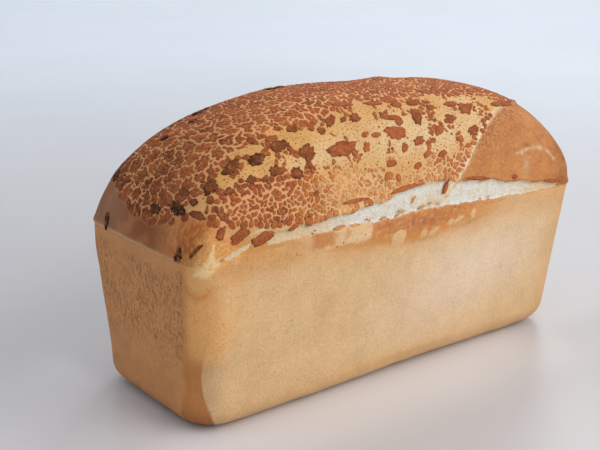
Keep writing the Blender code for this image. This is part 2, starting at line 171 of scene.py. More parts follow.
BAKE_STEPS = (0.0, 0.3, 0.55, 0.8, 1.0)

# Zones of the crackle: spans of x or s over which they change, and spots as x, s and two radii
LOW_PLATES = (0.034, 0.042)
FAR_PLATES = (0.074, 0.090)
BACK_PLATES = (0.120, 0.140)
LEFT_PLATES = (-0.110, -0.040)
PAST_TEARS = (-0.092, -0.054)
LEFT_END_PLATES = (-0.130, 0.088, 0.012, 0.024)
DARK_LEFT_END = (-0.133, 0.112, 0.011, 0.026)
DARK_FRONT = (0.034, 0.026, 0.016, 0.012)

# Large plates of paste in mm: x, s, length, width, turn in degrees, bake from 0 (pale) to 1 (burnt)
ISLANDS = [(x * MM, s * MM, length * MM, width * MM, turn, bake) for x, s, length, width, turn, bake in (
    (-46, 45.8, 21.5, 9, 6, 0.62),
    (-7, 49.5, 16.5, 8.5, 0, 0.52),
    (-20.5, 49.5, 7, 3.2, 0, 0.5),
    (-27.5, 50.5, 5, 3.6, 10, 0.52),
    (-29, 44, 6.2, 5, 50, 0.5),
    (-3, 40.5, 6.8, 4.2, 35, 0.55),
    (8.5, 43, 9, 5.2, 10, 0.62),
    (19, 42, 4, 3, 10, 0.5),
    (26, 47.5, 9.5, 4.8, 25, 0.55),
    (36.5, 53, 9.8, 6.2, 5, 0.66),
    (52.5, 59, 12.5, 8.8, 10, 0.66),
    (52, 45, 9.5, 6.4, 15, 0.68),
    (12, 35, 7.8, 3.8, 25, 0.5),
    (23.5, 34, 7.8, 3.6, 10, 0.52),
    (4, 30, 6.4, 3.7, 10, 0.52),
    (-14.5, 33.5, 8.5, 4.2, 0, 0.55),
    (-18, 27, 7.5, 4.5, 10, 0.36),
    (-11, 25.5, 4.5, 3.6, 80, 0.42),
    (13, 57, 10.5, 7.5, 85, 0.72),
    (-6, 58, 16.5, 3.6, -8, 0.6),
    (-29.5, 60.5, 8.5, 6.2, 0, 0.7),
    (-37, 61, 6, 3.2, 25, 0.68),
    (-45.5, 62, 11.5, 5.2, 40, 0.66),
    (-54, 57.5, 6.2, 4.8, 15, 0.68),
    (-59, 61, 6.8, 4, 60, 0.6),
    (3.5, 66, 9.2, 5, 0, 0.62),
    (16.5, 66, 11, 4.6, 0, 0.66),
    (26, 61.5, 6.6, 4.4, 5, 0.64),
    (43, 62.5, 11.5, 4.2, 0, 0.6),
    (87, 63, 25, 4.8, 5, 0.62),
    (40, 40.5, 4.7, 4, 70, 0.42),
    (44.5, 36.5, 5, 3, 5, 0.45),
    (63, 50.5, 4.2, 3.2, 10, 0.6),
    (-31, 71, 15, 4, -8, 0.56),
    (-11, 68.5, 14.5, 3, -8, 0.56),
    (-67.5, 48.5, 10, 9.2, 15, 0.66),
    (-81, 57, 11.5, 6.6, 5, 0.74),
    (-88.5, 45, 8, 6.2, 5, 0.7),
    (-77, 40, 8, 6.6, 5, 0.72),
    (-96, 55.5, 10.5, 6.6, 15, 0.8),
    (-103, 47, 5.6, 5.2, 15, 0.78),
    (-109, 60, 12.5, 6.8, 22, 0.76),
    (-121, 60, 9.5, 7.8, 10, 0.78),
    (-115, 49, 7, 4.2, 10, 0.72),
    (-108, 46.5, 7, 2.4, 0, 0.66),
    (-93, 66, 7.5, 4.2, -65, 0.7),
    (-83.5, 62.5, 6.6, 5.2, 5, 0.55),
    (-69.5, 64, 7.6, 5.6, 5, 0.66),
    (-67.5, 27, 4, 3.6, 0, 0.6),
    (-129, 62.5, 5, 4.4, -50, 0.84),
    (-131, 55, 11, 4.4, -65, 0.74),
    (-124, 54, 5.4, 4, 60, 0.68),
    (-128.5, 73.5, 8.5, 4.2, -80, 0.8),
    (-133.5, 72, 12, 7, 85, 0.93),
    (-135.8, 88, 10, 5, 85, 0.88),
    (-121.4, 36.5, 7.8, 4.8, -55, 0.62),
    (-125.3, 26.5, 7.8, 4.4, 50, 0.62),
    (-115.5, 19.2, 13, 5.8, 18, 0.55),
    (-102.5, 12.2, 15.5, 6, 10, 0.56),
    (-84, 13.2, 7, 2.8, 20, 0.5),
    (-8, 19.2, 22, 3, 5, 0.46),
    (-42.5, 18.2, 18, 2.4, 0, 0.46),
    (23.6, 15.2, 7.8, 2.7, 62, 0.5),
    (48, 17, 22, 2.2, -8, 0.6),
    (80, 13.5, 5.5, 2.8, -10, 0.58),
    (116, 5.8, 18, 2.4, -10, 0.55),
    (-44, 117, 7, 4.8, -30, 0.84),
    (-37, 117.5, 6, 4, 20, 0.84),
    (-89, 120.5, 7, 4.4, 5, 0.86),
    (-83, 121.5, 4.8, 3.4, 40, 0.84),
    (-130.5, 134.5, 8, 5, 5, 0.88),
    (-112.7, 115.2, 5.5, 3.6, -55, 0.84),
    (-98, 112, 5.2, 3.8, -10, 0.82),
    (-139.8, 129, 9.5, 3.4, 4, 0.95),
    (-138.8, 37, 10.5, 1.8, 28, 0.78),
    (-139.8, 56.7, 2.6, 1.3, 80, 0.9),
    (-139.8, 60.7, 2.8, 1.4, 100, 0.92),
    (-139.4, 58.8, 3, 1.3, 5, 0.86),
    (-139.95, 61.2, 3, 1.2, 40, 0.86),
    (-1, 12, 4.6, 1.1, 55, 0.08),
    (-9.9, 7.3, 6.8, 1.2, -12, 0.05),
    (5.3, 7, 6, 1.4, 5, 0.12),
    (-13.2, 5.4, 4, 1.2, 20, 0.08),
    (12.1, 8, 4.4, 1, 0, 0.06),
    (-23, 5.8, 5, 1.3, 10, 0.05),
    (24.3, 9.8, 3.6, 0.9, 15, 0.04),
    (-43, 5.6, 7, 1.6, 0, 0.16),
    (-53.6, 6.2, 8, 2, 5, 0.2),
    (-126.2, 5.4, 2.6, 1.4, 0, 0.14),
)]

# Skin that no crackle covers
LEFT_SKIN = ((0.020, 0.015), (0.030, 0.0185), (0.040, 0.0205), (0.060, 0.0212), (0.072, 0.0190),
             (0.080, 0.0158), (0.090, 0.0128), (0.110, 0.0160), (0.135, 0.0240))    # s, height
CRACKLE_FOOT = ((-0.131, 0.0400), (-0.1224, 0.0315), (-0.1146, 0.0260), (-0.1065, 0.0218),
                (-0.0975, 0.0190), (-0.0887, 0.0162), (-0.0793, 0.0155))    # x, s over the tears
RIGHT_SKIN = 0.030
END_SKIN_FROM = 0.104
END_SKIN_FULL = 0.130
BACK_SKIN = 0.020
FRONT_SKIN = 0.0015

# Smooth strip down the near corner: distances of its sides from the corner, from the foot up
STRIP_TOP = 0.060
STRIP_LEFT = (-0.0160, -0.0139, -0.0105, -0.0117, -0.0112, -0.0100)
STRIP_RIGHT = (0.0060, 0.0024, -0.0009, -0.0013, 0.0009, 0.0035)

# Marks over the near corner: x, y, height and radius of the places they run through
CORNER_PATCH = ((-0.1372, -0.0465, 0.0882, 0.0014), (-0.1361, -0.0486, 0.0898, 0.0026),
                (-0.1335, -0.0508, 0.0908, 0.0032), (-0.1318, -0.0522, 0.0937, 0.0030),
                (-0.1270, -0.0536, 0.0955, 0.0014), (-0.1318, -0.0522, 0.0945, 0.0024),
                (-0.1311, -0.0520, 0.0998, 0.0011), (-0.1298, -0.0518, 0.1035, 0.0006))
CORNER_LOOP = ((-0.1388, -0.0402, 0.0825, 0.0013), (-0.1377, -0.0425, 0.0780, 0.0016),
               (-0.1358, -0.0460, 0.0765, 0.0018), (-0.1335, -0.0488, 0.0775, 0.0016),
               (-0.1300, -0.0505, 0.0810, 0.0012))

# Blisters that ran down the front wall: x, drop below the rim, length, height, turn in degrees
BLISTERS = (
    (-0.0620, 0.0030, 0.0040, 0.0030, 0),
    (-0.0110, 0.0072, 0.0125, 0.0092, 0),
    (0.0082, 0.0088, 0.0060, 0.0056, 0),
    (0.0160, 0.0090, 0.0098, 0.0038, 24),
    (0.0289, 0.0062, 0.0046, 0.0050, 0),
    (0.0352, 0.0055, 0.0098, 0.0036, 25),
    (0.0467, 0.0042, 0.0044, 0.0070, 0),
)
BLISTER_RISE = 0.00040
FRONT_FACE = -WIDTH / 2 + 0.004                       # the front wall has a lower y
BUBBLE_COUNT = 34

# Patches of colour on the crown: share, x, s and two radii
PALE_BAND = ((0.85, 0.012, 0.046, 0.052, 0.015), (0.5, 0.056, 0.066, 0.014, 0.014),
             (0.5, -0.062, 0.046, 0.020, 0.008))
PALE_RIGHT = ((0.55, 0.092, 0.0205, 0.003, 0.004),)
DARK_RIGHT = ((0.8, 0.0952, 0.0335, 0.0040, 0.0014), (0.8, 0.084, 0.0305, 0.0030, 0.0010),
              (0.8, 0.128, 0.025, 0.002, 0.003))
BROWN_LEFT = ((0.35, -0.138, 0.056, 0.005, 0.012), (0.62, -0.135, 0.045, 0.007, 0.009))
SHEEN_LEFT = ((0.30, -0.1385, 0.1285, 0.006, 0.018),)
CREAM_TORN = ((0.6, 0.014, 0.010, 0.006, 0.006),)
BURNT_RING = (-0.1397, 0.0588, 0.0005, 0.0022)                  # x, s and its two reaches
STREAK = ((0.083, 0.0295), (0.090, 0.0290), (0.097, 0.0325),
          (0.108, 0.0325), (0.114, 0.0300), (0.118, 0.0245))    # x and s of the pale streak

# Patches of colour on the walls: share, place, height and two radii
# Painted sheen: paler patches where the front wall catches the light
WALL_SHEEN = ((1.0, 0.062, 0.056, 0.050, 0.024), (0.5, 0.020, 0.038, 0.045, 0.026))
ORANGE_CORNER = ((0.45, 0.0, 0.060, 0.008, 0.030),)
GOLD_FOOT = ((0.5, -0.004, 0.012, 0.034, 0.0022),)
GLAZE_DEPTH = ((-0.031, 0.0050), (-0.018, 0.0080), (0.000, 0.0100),
               (0.012, 0.0105), (0.024, 0.0085), (0.040, 0.0050))       # x, drop below the rim
GLAZE_LINE = ((-0.05, 0.004), (0.0, 0.0115), (0.040, 0.0100), (0.070, 0.004))

# Shades of the colours, as shares of red, green and blue
TEAR_SHADE = (0.86, 0.78, 0.74)
FOOT_SHADE = (0.66, 0.58, 0.58)
CRUST_SHADE = (0.88, 0.84, 0.78)
TOP_CORNER_SHADE = (0.92, 0.84, 0.80)
SHEEN_SHADE = (0.50, 0.42, 0.42)

# Layers of noise: amount, size and shift
WALL_GRAIN = ((0.00016, 0.010, 71), (0.00010, 0.0045, 73))
TORN_RAG = ((0.0006, 0.0034, 3), (0.0004, 0.0014, 5))
TORN_GRAIN = ((0.00030, 0.0024, 83), (0.00018, 0.0012, 85))
ISLAND_BUMPS = ((0.35, 0.0022, 101), (0.25, 0.0010, 103))
STRIP_WOBBLE = ((0.0012, 0.014, 41), (0.0006, 0.0035, 43))
BLISTER_RAG = ((0.16, 0.0042, 113), (0.08, 0.0018, 117))

# Usual spans of shader noise
MIDDLE = (0.3, 0.7)
WIDE = (0.2, 0.8)

# Skin mesh
COLUMNS = 276
ROWS = 146
FINE_ROWS = 30                # over the torn strip
FINE_ROW_STEP = 0.0008
COLUMN_SQUEEZE = 0.72         # share of a rise that counts where columns are spaced
RIM_LEVELS = 12
RIM_LEVEL_STEP = 0.0008
WALL_LEVELS = 32
FILLET_LEVELS = 8
CORNER_PASSES = 30            # times the crown's corners are smoothed
EVEN_REACH = 0.012            # drop below the rim in which the columns spread out evenly

# Camera
CAMERA_TURN = -39.57          # degrees round the loaf, from the front
CAMERA_RISE = 17.84
CAMERA_ROLL = 1.38
CAMERA_AIM = (-0.0354, 0.0, 0.0821)
CAMERA_DISTANCE = 0.6193
CAMERA_LENS = 66.7


def linear(red, green, blue):
    """Linear colour of an sRGB colour in bytes."""
    share = [value / 255 for value in (red, green, blue)]
    return tuple(v / 12.92 if v <= 0.04045 else ((v + 0.055) / 1.055) ** 2.4 for v in share)


def swatch(name, description, red, green, blue):
    """A colour that the user can change."""
    return FloatVectorProperty(name=name, description=description, subtype="COLOR", size=3,
                               min=0.0, max=1.0, default=linear(red, green, blue))


def length_property(name, description, default):
    """A length that the user can change."""
    return FloatProperty(name=name, description=description, default=default, min=0.0,
                         soft_max=default * 4, unit="LENGTH", precision=5)


class SkinSettings(bpy.types.PropertyGroup):
    """Colours of the baked dough."""
    gold: swatch("Gold", "Skin that the dough stretched between the plates", 208, 154, 86)
    pale: swatch("Pale gold", "Skin where it stretched the most", 216, 188, 142)
    vein: swatch("Vein", "Skin at the bottom of the veins", 215, 155, 100)
    orange: swatch("Orange", "Smooth skin at the right of the fold", 192, 124, 68)
    brown: swatch("Brown", "Smooth skin at the back of the left end, and dark mottling", 138, 76, 34)
    wall: swatch("Wall", "Skin that baked against the tin", 216, 178, 130)
    # Colour of the painted sheen on the front wall
    wall_sheen: swatch("Pale wall", "The palest part of the front wall", 226, 200, 172)
    wall_tan: swatch("Tan wall", "Darker mottling of the walls", 200, 152, 100)
    end: swatch("End wall", "The left end wall", 204, 141, 86)
    strip: swatch("Corner strip", "Smooth strip down the near corner", 196, 128, 70)
    glaze: swatch("Glaze", "Caramelised paste under the torn strip", 204, 134, 77)
    crumb: swatch("Crumb", "Torn dough in the burst", 224, 219, 206)
    crumb_cream: swatch("Creamy crumb", "Warmer patches of the torn dough", 218, 190, 150)
    # Partly real orange skin and partly painted light: lighter than the skin is, as if the near corner
    # were lit
    corner: swatch("Corner skin", "Smooth skin over the near corner", 236, 172, 100)
    ember: swatch("Ember", "Smooth skin low on the left end, by the near corner", 208, 111, 42)
    cream: swatch("Cream", "Pale patch on the wall under the near corner", 246, 207, 148)
    glaze_dark: swatch("Dark glaze", "Darkest part of the glaze", 158, 92, 56)
    glaze_gold: swatch("Golden glaze", "Lower margin of the glaze", 208, 138, 72)
    flour: swatch("Flour", "The fold's pale line, and the shelf beside the glaze", 228, 204, 164)
    char: swatch("Char", "Burnt specks", 60, 32, 20)
    bubble: swatch("Bubble", "Blisters on the front wall", 217, 176, 123)
    pit: swatch("Pit", "Bottoms of the pits and pores of the walls", 150, 86, 34)
    freckle: swatch("Freckle", "Fine grains of paste on the stretched skin", 150, 88, 48)


class PasteSettings(bpy.types.PropertyGroup):
    """Sizes and colours of the crackled paste."""
    plate_size: length_property("Plate size", "Usual distance between two plates", PLATE_SIZE)
    vein_width: length_property("Vein width", "Usual width of a vein", VEIN_WIDTH)
    plate_rise: length_property("Plate rise", "Thickness of a plate", 0.00030)
    island_rise: length_property("Island rise", "Thickness of a large plate", 0.00045)
    rag: length_property("Raggedness", "How far the edge of a plate wanders", 0.00036)
    grain_count: IntProperty(name="Grains", description="Loose grains on the stretched band",
                             default=900, min=0)
    pale: swatch("Pale paste", "Paste that hardly browned", 232, 178, 112)
    amber: swatch("Amber paste", "Lightly baked paste", 186, 110, 56)
    red: swatch("Red brown paste", "Usual paste", 165, 87, 49)
    brown: swatch("Brown paste", "Well baked paste", 118, 62, 34)
    burnt: swatch("Burnt paste", "Scorched paste", 60, 32, 20)
    hairline: swatch("Hairline crack", "Fine cracks in a plate", 190, 126, 76)


class StudioSettings(bpy.types.PropertyGroup):
    """Light and backdrop."""
    key_power: FloatProperty(name="Key light", description="Power of the large soft light",
                             default=15.2, min=0.0, unit="POWER")
    back_power: FloatProperty(name="Backdrop light", description="Power of the light on the backdrop",
                              default=17.0, min=0.0, unit="POWER")
    sky_strength: FloatProperty(name="Sky", description="Strength of the light from all around",
                                default=0.98, min=0.0)
    sky: swatch("Sky colour", "Colour of the light from all around", 224, 231, 241)
    floor_near: swatch("Floor", "Floor round the loaf", 195, 190, 188)
    floor_far: swatch("Backdrop", "Backdrop behind it", 221, 225, 229)


# Form


def along(values, t):
    """Values at t, from 0 to 1, of the smooth curve through evenly spaced values."""
    values = np.asarray(values, float)
    spans = len(values) - 1
    place = np.clip(t, 0.0, 1.0) * spans
    i = np.minimum(place.astype(int), spans - 1)
    f = place - i
    padded = np.concatenate([[2 * values[0] - values[1]], values, [2 * values[-1] - values[-2]]])
    before, here, there, after = (padded[i + k] for k in range(4))
    rise = (there - before) / 2
    fall = (after - here) / 2
    return (here * (2 * f**3 - 3 * f**2 + 1) + rise * (f**3 - 2 * f**2 + f)
            + there * (3 * f**2 - 2 * f**3) + fall * (f**3 - f**2))


def ramp(low, high, value):
    """0 at low, 1 at high, and a smooth change between them."""
    t = np.clip((value - low) / (high - low), 0.0, 1.0)
    return t * t * (3 - 2 * t)


def fade(low, high, value):
    """1 at low, 0 at high, and a smooth change between them."""
    return 1 - ramp(low, high, value)


def bell(value, width):
    """1 where a value is 0, and fading as it grows past a width either way."""
    return np.exp(-((value / width) ** 2))


def spot(x, s, place_x, place_s, radius_x, radius_s):
    """1 at a place and fading round it."""
    return np.exp(-((x - place_x) / radius_x) ** 2 - ((s - place_s) / radius_s) ** 2)


def spots_at(x, s, patches):
    """Sum of the shares of patches at a place."""
    return sum(share * spot(x, s, *place) for share, *place in patches)


def through(value, line):
    """Height at a value of the broken line through points."""
    return np.interp(value, *zip(*line))


def crown_height(x):
    """Height of the crown's ridge over the rim."""
    return along(CROWN_HEIGHTS, x / LENGTH + 0.5)


def end_share(x):
    """How much of the height is left at x, squared."""
    power = np.where(x < 0, LEFT_END_POWER, RIGHT_END_POWER)
    return np.maximum(0.0, 1 - np.abs(2 * x / LENGTH) ** power)


def cross_share(y):
    """The same across the loaf."""
    return np.maximum(0.0, 1 - np.abs(2 * y / WIDTH) ** CROSS_POWER)


def round_corner(x, y, half_length, half_width, radius):
    """Move points of a square-cornered plan to the plan with round corners."""
    over_x = np.abs(x) - (half_length - radius)
    over_y = np.abs(y) - (half_width - radius)
    corner = (over_x > 0) & (over_y > 0)
    far = np.maximum(np.hypot(over_x, over_y), 1e-12)
    share = np.where(corner, np.maximum(over_x, over_y) / far, 1.0)
    return (np.where(corner, np.sign(x) * (half_length - radius + over_x * share), x),
            np.where(corner, np.sign(y) * (half_width - radius + over_y * share), y))


def square_corner(x, y):
    """The way back from round_corner at the rim."""
    over_x = np.abs(x) - (LENGTH / 2 - RIM_CORNER)
    over_y = np.abs(y) - (WIDTH / 2 - RIM_CORNER)
    corner = (over_x > 0) & (over_y > 0)
    longest = np.maximum(np.maximum(over_x, over_y), 1e-12)
    share = np.where(corner, np.hypot(over_x, over_y) / longest, 1.0)
    return (np.where(corner, np.sign(x) * (LENGTH / 2 - RIM_CORNER + over_x * share), x),
            np.where(corner, np.sign(y) * (WIDTH / 2 - RIM_CORNER + over_y * share), y))


def crown_share(x, y):
    """How much of the height is left at a place, squared, and negative outside the loaf."""
    lengthwise = 1 - np.abs(2 * x / LENGTH) ** np.where(x < 0, LEFT_END_POWER, RIGHT_END_POWER)
    across = 1 - np.abs(2 * y / WIDTH) ** CROSS_POWER
    outside = (lengthwise <= 0) | (across <= 0)
    share = np.where(outside, -np.abs(lengthwise * across), lengthwise * across)
    full = 1 / (1 / np.where(outside, 1.0, lengthwise) + 1 / np.where(outside, 1.0, across) - 1)
    beside = spot(np.abs(x), y, LENGTH / 2, -WIDTH / 2, CORNER_REACH, CORNER_REACH)
    return np.where(outside, share, share + CORNER_FILL * beside * (full - share))


def crown_level(points):
    """Zero on the smooth crown and positive outside it."""
    x, y = square_corner(points[:, 0], points[:, 1])
    return (points[:, 2] - RIM_HEIGHT) ** 2 - crown_height(x) ** 2 * crown_share(x, y)


def crown_slope(points, reach=0.00005):
    """Gradient of crown_level."""
    slope = np.empty_like(points)
    for axis in range(3):
        step = np.zeros(3)
        step[axis] = reach
        slope[:, axis] = (crown_level(points + step) - crown_level(points - step)) / (2 * reach)
    return slope


def lay_on_crown(points):
    """Move points near the crown onto it, and give the outward directions there."""
    points = np.array(points, float)
    for _ in range(4):
        slope = crown_slope(points)
        squared = np.maximum((slope**2).sum(axis=1), 1e-12)
        points = points - slope * (crown_level(points) / squared)[:, None]
    slope = crown_slope(points)
    return points, slope / np.maximum(np.linalg.norm(slope, axis=1), 1e-12)[:, None]


def measure_profile(rise, half_width):
    """Places across a profile of the crown, and the length of arc from its start to each."""
    across = half_width * np.sin(np.linspace(-math.pi / 2, math.pi / 2, PROFILE_POINTS))
    arc = np.cumsum(np.hypot(np.diff(across), np.diff(rise(across))))
    return across, np.concatenate([[0.0], arc])


ACROSS, ARC = measure_profile(
    lambda y: crown_height(np.zeros_like(y)) * np.sqrt(cross_share(y)), WIDTH / 2)
ALONG, RIDGE_ARC = measure_profile(
    lambda x: COLUMN_SQUEEZE * crown_height(x) * np.sqrt(end_share(x)), LENGTH / 2)


def crown_point(x, s):
    """Points of the smooth crown at x and s."""
    y = np.interp(s, ARC, ACROSS)
    height = RIM_HEIGHT + crown_height(x) * np.sqrt(np.maximum(crown_share(x, y), 0.0))
    return np.column_stack([*round_corner(x, y, LENGTH / 2, WIDTH / 2, RIM_CORNER), height])


def crown_place(points):
    """x, s and height over the rim of points on the crown."""
    x, y = square_corner(points[:, 0], points[:, 1])
    return x, np.interp(y, ACROSS, ARC), points[:, 2] - RIM_HEIGHT


def tangent_frame(out):
    """Directions up along the loaf and across it, at right angles to the outward ones."""
    forward = np.array([1.0, 0.0, 0.0]) - out * out[:, :1]
    forward /= np.maximum(np.linalg.norm(forward, axis=1), 1e-9)[:, None]
    return forward, np.cross(out, forward)


def noise_at(points, size, shift=0.0):
    """Smooth noise from about -1 to 1 at every point."""
    spots = np.asarray(points) / size + np.array([shift, 0.0, SEED])
    return np.array([noise.noise(spot) for spot in spots.tolist()])


def noise_sum(points, layers):
    """Sum of layers of noise, each with its amount, size and shift."""
    return sum(amount * noise_at(points, size, shift) for amount, size, shift in layers)


def flat_points(x, s=0.0):
    """x and s as points for noise_at."""
    return np.column_stack([x, np.broadcast_to(s, np.shape(x)), np.zeros_like(x)])


def pair_draw(a, b):
    """A number from 0 to 1 that belongs to a pair, whichever comes first."""
    low, high = min(a, b), max(a, b)
    return abs(math.modf(math.sin(low * 12.9898 + high * 78.233) * 43758.5453)[0])


# Relief and cover of the crown


def burst_edges(x):
    """The two ragged edges of the burst, as s."""
    t = (x - BURST_FROM) / (BURST_TO - BURST_FROM)
    line = flat_points(x, 0.5 * BURST_RAG_SIZE)
    rag = BURST_RAG * noise_at(line, BURST_RAG_SIZE)
    nibbled = FOOT_RAG * noise_at(line, 0.0045, 6) * ramp(-0.070, -0.030, x)
    return along(BURST_FOOT, t) - rag / 2 + nibbled, along(BURST_TOP, t) + rag + nibbled / 2


def burst_strength(x):
    """1 along the burst, 0 where there is none."""
    return (ramp(BURST_FROM, BURST_FROM + BURST_FADE, x)
            * fade(BURST_TO - BURST_FADE, BURST_TO, x))


def torn_inside(x, s):
    """How far inside the torn dough a place is, and negative outside it."""
    foot, top = burst_edges(x)
    inside = np.minimum(np.minimum(s - foot, top - s), np.minimum(x - BURST_FROM, BURST_TO - x) / 3)
    for tear_x, tear_s, length, width, turn in TEARS:
        a = math.radians(turn)
        u = (x - tear_x) * math.cos(a) + (s - tear_s) * math.sin(a)
        v = (s - tear_s) * math.cos(a) - (x - tear_x) * math.sin(a)
        gap = (1 - np.hypot(2 * u / length, 2 * v / width)) * width / 2
        inside = np.maximum(inside, np.maximum(gap, NOT_TORN))
    inside = inside + noise_sum(flat_points(x, s), TORN_RAG)
    strand = STRAND_WIDTH * (1 + 1.3 * ramp(0.009, 0.019, s))
    return np.minimum(inside, fold_gap(x, s) - strand / 2)


def fold_wander(x, s):
    """How far the fold strays from its line, along x."""
    return FOLD_WANDER * noise_at(flat_points(x, s), FOLD_WANDER_SIZE, 27)


def fold_gap(x, s):
    """Distance from the fold."""
    x = x + fold_wander(x, s)
    t = np.linspace(0, 1, FOLD_STEPS)
    gap = np.full_like(x, 1.0)
    for fold_x, fold_s in zip(*(along(values, t) for values in zip(*FOLD))):
        gap = np.minimum(gap, np.hypot(x - fold_x, s - fold_s))
    return gap


def past_fold(x, s):
    """How far a place lies to the smooth side of the fold, along x."""
    line = [(fold_s, fold_x) for fold_x, fold_s in (*FOLD, FOLD_FADE)]
    return x + fold_wander(x, s) - through(s, line)


def band_share(x, s):
    """1 in the middle of the stretched band and 0 outside it."""
    t = (x - BAND_FROM) / (BAND_TO - BAND_FROM)
    low, high = along(BAND_LOW, t), along(BAND_HIGH, t)
    middle, half = (low + high) / 2, (high - low) / 2
    ragged = np.abs(s - middle) / half + 0.28 * noise_at(flat_points(x, s), 0.009, 9)
    ends = ramp(BAND_FROM - 0.004, BAND_FROM + 0.008, x)
    ends = ends * fade(BAND_TO, BAND_TO + 0.012, x)
    return fade(0.72, 1.12, ragged) * ends


def bare_height(x, s):
    """Height over the rim of the smooth skin at the ends."""
    height = np.where(x < 0, through(s, LEFT_SKIN), RIGHT_SKIN)
    return height * ramp(END_SKIN_FROM, END_SKIN_FULL, np.abs(x))


def crackle_foot(x):
    """Lower edge of the crackle over the tears at the left, as s."""
    return through(x, CRACKLE_FOOT)


def back_edge(x):
    """Edge of the crackle at the back, as s."""
    return ARC[-1] - BACK_SKIN + 0.0055 * noise_at(flat_points(x), 0.024, 25)


def paste_cover(x, s, height):
    """How far inside the crackled paste a place is, and negative outside it."""
    inside = height - bare_height(x, s)
    inside = np.minimum(inside, -past_fold(x, s) - SEAM)
    inside = np.minimum(inside, s - burst_edges(x)[1] - FRONT_SKIN)
    inside = np.minimum(inside, np.where(x < CRACKLE_FOOT[-1][0], s - crackle_foot(x), 1.0))
    inside = np.minimum(inside, back_edge(x) - s)
    return inside + 0.0022 * noise_at(flat_points(x, s), 0.007, 21)


def skin_rise(x, s, height):
    """Rise of the skin over the smooth crown."""
    spots = flat_points(x, s)
    rise = RIPPLE_RISE * noise_at(spots, RIPPLE_SIZE)
    for swell_x, swell_s, radius, swell in SWELLS:
        rise = rise + swell * np.exp(-((x - swell_x) ** 2 + (s - swell_s) ** 2) / radius**2)
    rise = rise * ramp(0.0, RIPPLE_FADE, height)
    near_end = ramp(LENGTH / 2 - RIDGE_REACH, LENGTH / 2 - RIDGE_REACH / 3, np.abs(x))
    near_end = near_end * np.where(x < 0, ramp(0.048, 0.062, s), 1.0)
    rise = rise + RIDGE_RISE * bell(height, RIDGE_WIDTH) * near_end
    _, top = burst_edges(x)
    lip = bell(s - top - LIP_WIDTH / 2, LIP_WIDTH) * burst_strength(x)
    rise = rise + LIP_RISE * lip * ramp(0.0, 0.003, height)
    return rise + FOLD_RISE * bell(fold_gap(x, s), FOLD_WIDTH)


def plate_fields(x, s):
    """Sizes of plates and groups, widths of veins, share of open cracks in a group, and bake."""
    band = band_share(x, s)
    low = fade(*LOW_PLATES, s)
    right = ramp(*PAST_TEARS, x)
    left = fade(*LEFT_PLATES, x)
    left_end = spot(x, s, *LEFT_END_PLATES)
    far = ramp(*FAR_PLATES, s)
    size = 2.40 - 0.10 * low - 0.40 * left_end + 0.35 * ramp(*BACK_PLATES, s)
    group = 5.8 - 1.4 * low + 0.8 * left * (1 - low) - 1.0 * band
    vein = 1.05 - 0.22 * low - 0.12 * low * right - 0.35 * left_end + 0.75 * band
    cracked = 0.22 + 0.16 * low + 0.12 * far * (1 - left) - 0.12 * left_end + 0.2 * band
    bake = 0.50 + 0.11 * left + 0.13 * spot(x, s, *DARK_LEFT_END)
    bake = bake - 0.05 * far * (1 - left) - 0.07 * far * ramp(0.0, 0.05, x)
    bake = bake - 0.32 * low * right - 0.07 * low + 0.02 * band
    bake = bake + 0.10 * noise_at(flat_points(x, s), 0.020, 31)
    bake = bake + 0.07 * ramp(0.020, 0.045, x) * ramp(0.064, 0.074, s) * (1 - far)
    bake = bake + 0.20 * spot(x, s, *DARK_FRONT)
    return size * MM, group * MM, vein * MM, cracked, bake


# Walls


def wall_heights():
    """Heights of the wall's levels, from the rim down to the foot."""
    rim = RIM_HEIGHT - RIM_LEVEL_STEP * np.arange(RIM_LEVELS + 1)
    wall = np.linspace(rim[-1], FOOT_FILLET, WALL_LEVELS + 1)[1:]
    turns = np.linspace(math.pi / 2, 0.0, FILLET_LEVELS + 1)[1:]
    return np.concatenate([rim, wall, FOOT_FILLET * (1 - np.cos(turns))])


def wall_points(x, y, height):
    """Points of the walls at a height, under points of the rim's square-cornered plan."""
    down = 1 - height / RIM_HEIGHT
    under = np.maximum(FOOT_FILLET - height, 0.0)
    cut = FOOT_FILLET - np.sqrt(FOOT_FILLET**2 - under**2)
    drawn_in = WALL_TAPER * down + cut
    half_length = LENGTH / 2 - drawn_in
    half_width = WIDTH / 2 - drawn_in
    tight = TIGHT_CORNER * ramp(0.0, 0.016, RIM_HEIGHT - height) * (x < 0) * (y > 0)
    radius = RIM_CORNER + (FOOT_CORNER - RIM_CORNER) * down - cut / 2 - tight
    plan = round_corner(x * 2 * half_length / LENGTH, y * 2 * half_width / WIDTH,
                        half_length, half_width, radius)
    points = np.column_stack([*plan, height])
    wave = WALL_WAVE * noise_at(points, WALL_WAVE_SIZE) * ramp(0.0, 0.004, RIM_HEIGHT - height)
    away = np.column_stack([x / LENGTH, y / WIDTH])
    away /= np.linalg.norm(away, axis=1)[:, None]
    points[:, :2] += away * (wave * ramp(0.0, 0.002, height))[:, None]
    front = (y < -WIDTH / 2 + 1e-6) & (height < FOOT_FILLET) & (height > 0)
    lift = FRONT_LIFT * bell(x - FRONT_LIFT_X, FRONT_LIFT_LENGTH)
    lift = np.maximum(lift + FOOT_WAVE * (0.5 + noise_at(flat_points(x, 0.3), FOOT_WAVE_SIZE)), 0.0)
    points[:, 2] += np.where(front, lift, 0.0)
    return points


def from_near_corner(points):
    """Distance round the wall from the middle of the near corner, positive along the front."""
    x, y, height = points.T
    down = 1 - np.clip(height / RIM_HEIGHT, 0, 1)
    radius = RIM_CORNER + (FOOT_CORNER - RIM_CORNER) * down
    middle_x = -(LENGTH / 2 - WALL_TAPER * down - radius)
    middle_y = -(WIDTH / 2 - WALL_TAPER * down - radius)
    quarter = radius * math.pi / 4
    turned = radius * (np.arctan2(y - middle_y, x - middle_x) + math.pi * 3 / 4)
    return np.where(x > middle_x, quarter + x - middle_x,
                    np.where(y > middle_y, -quarter - (y - middle_y), turned))


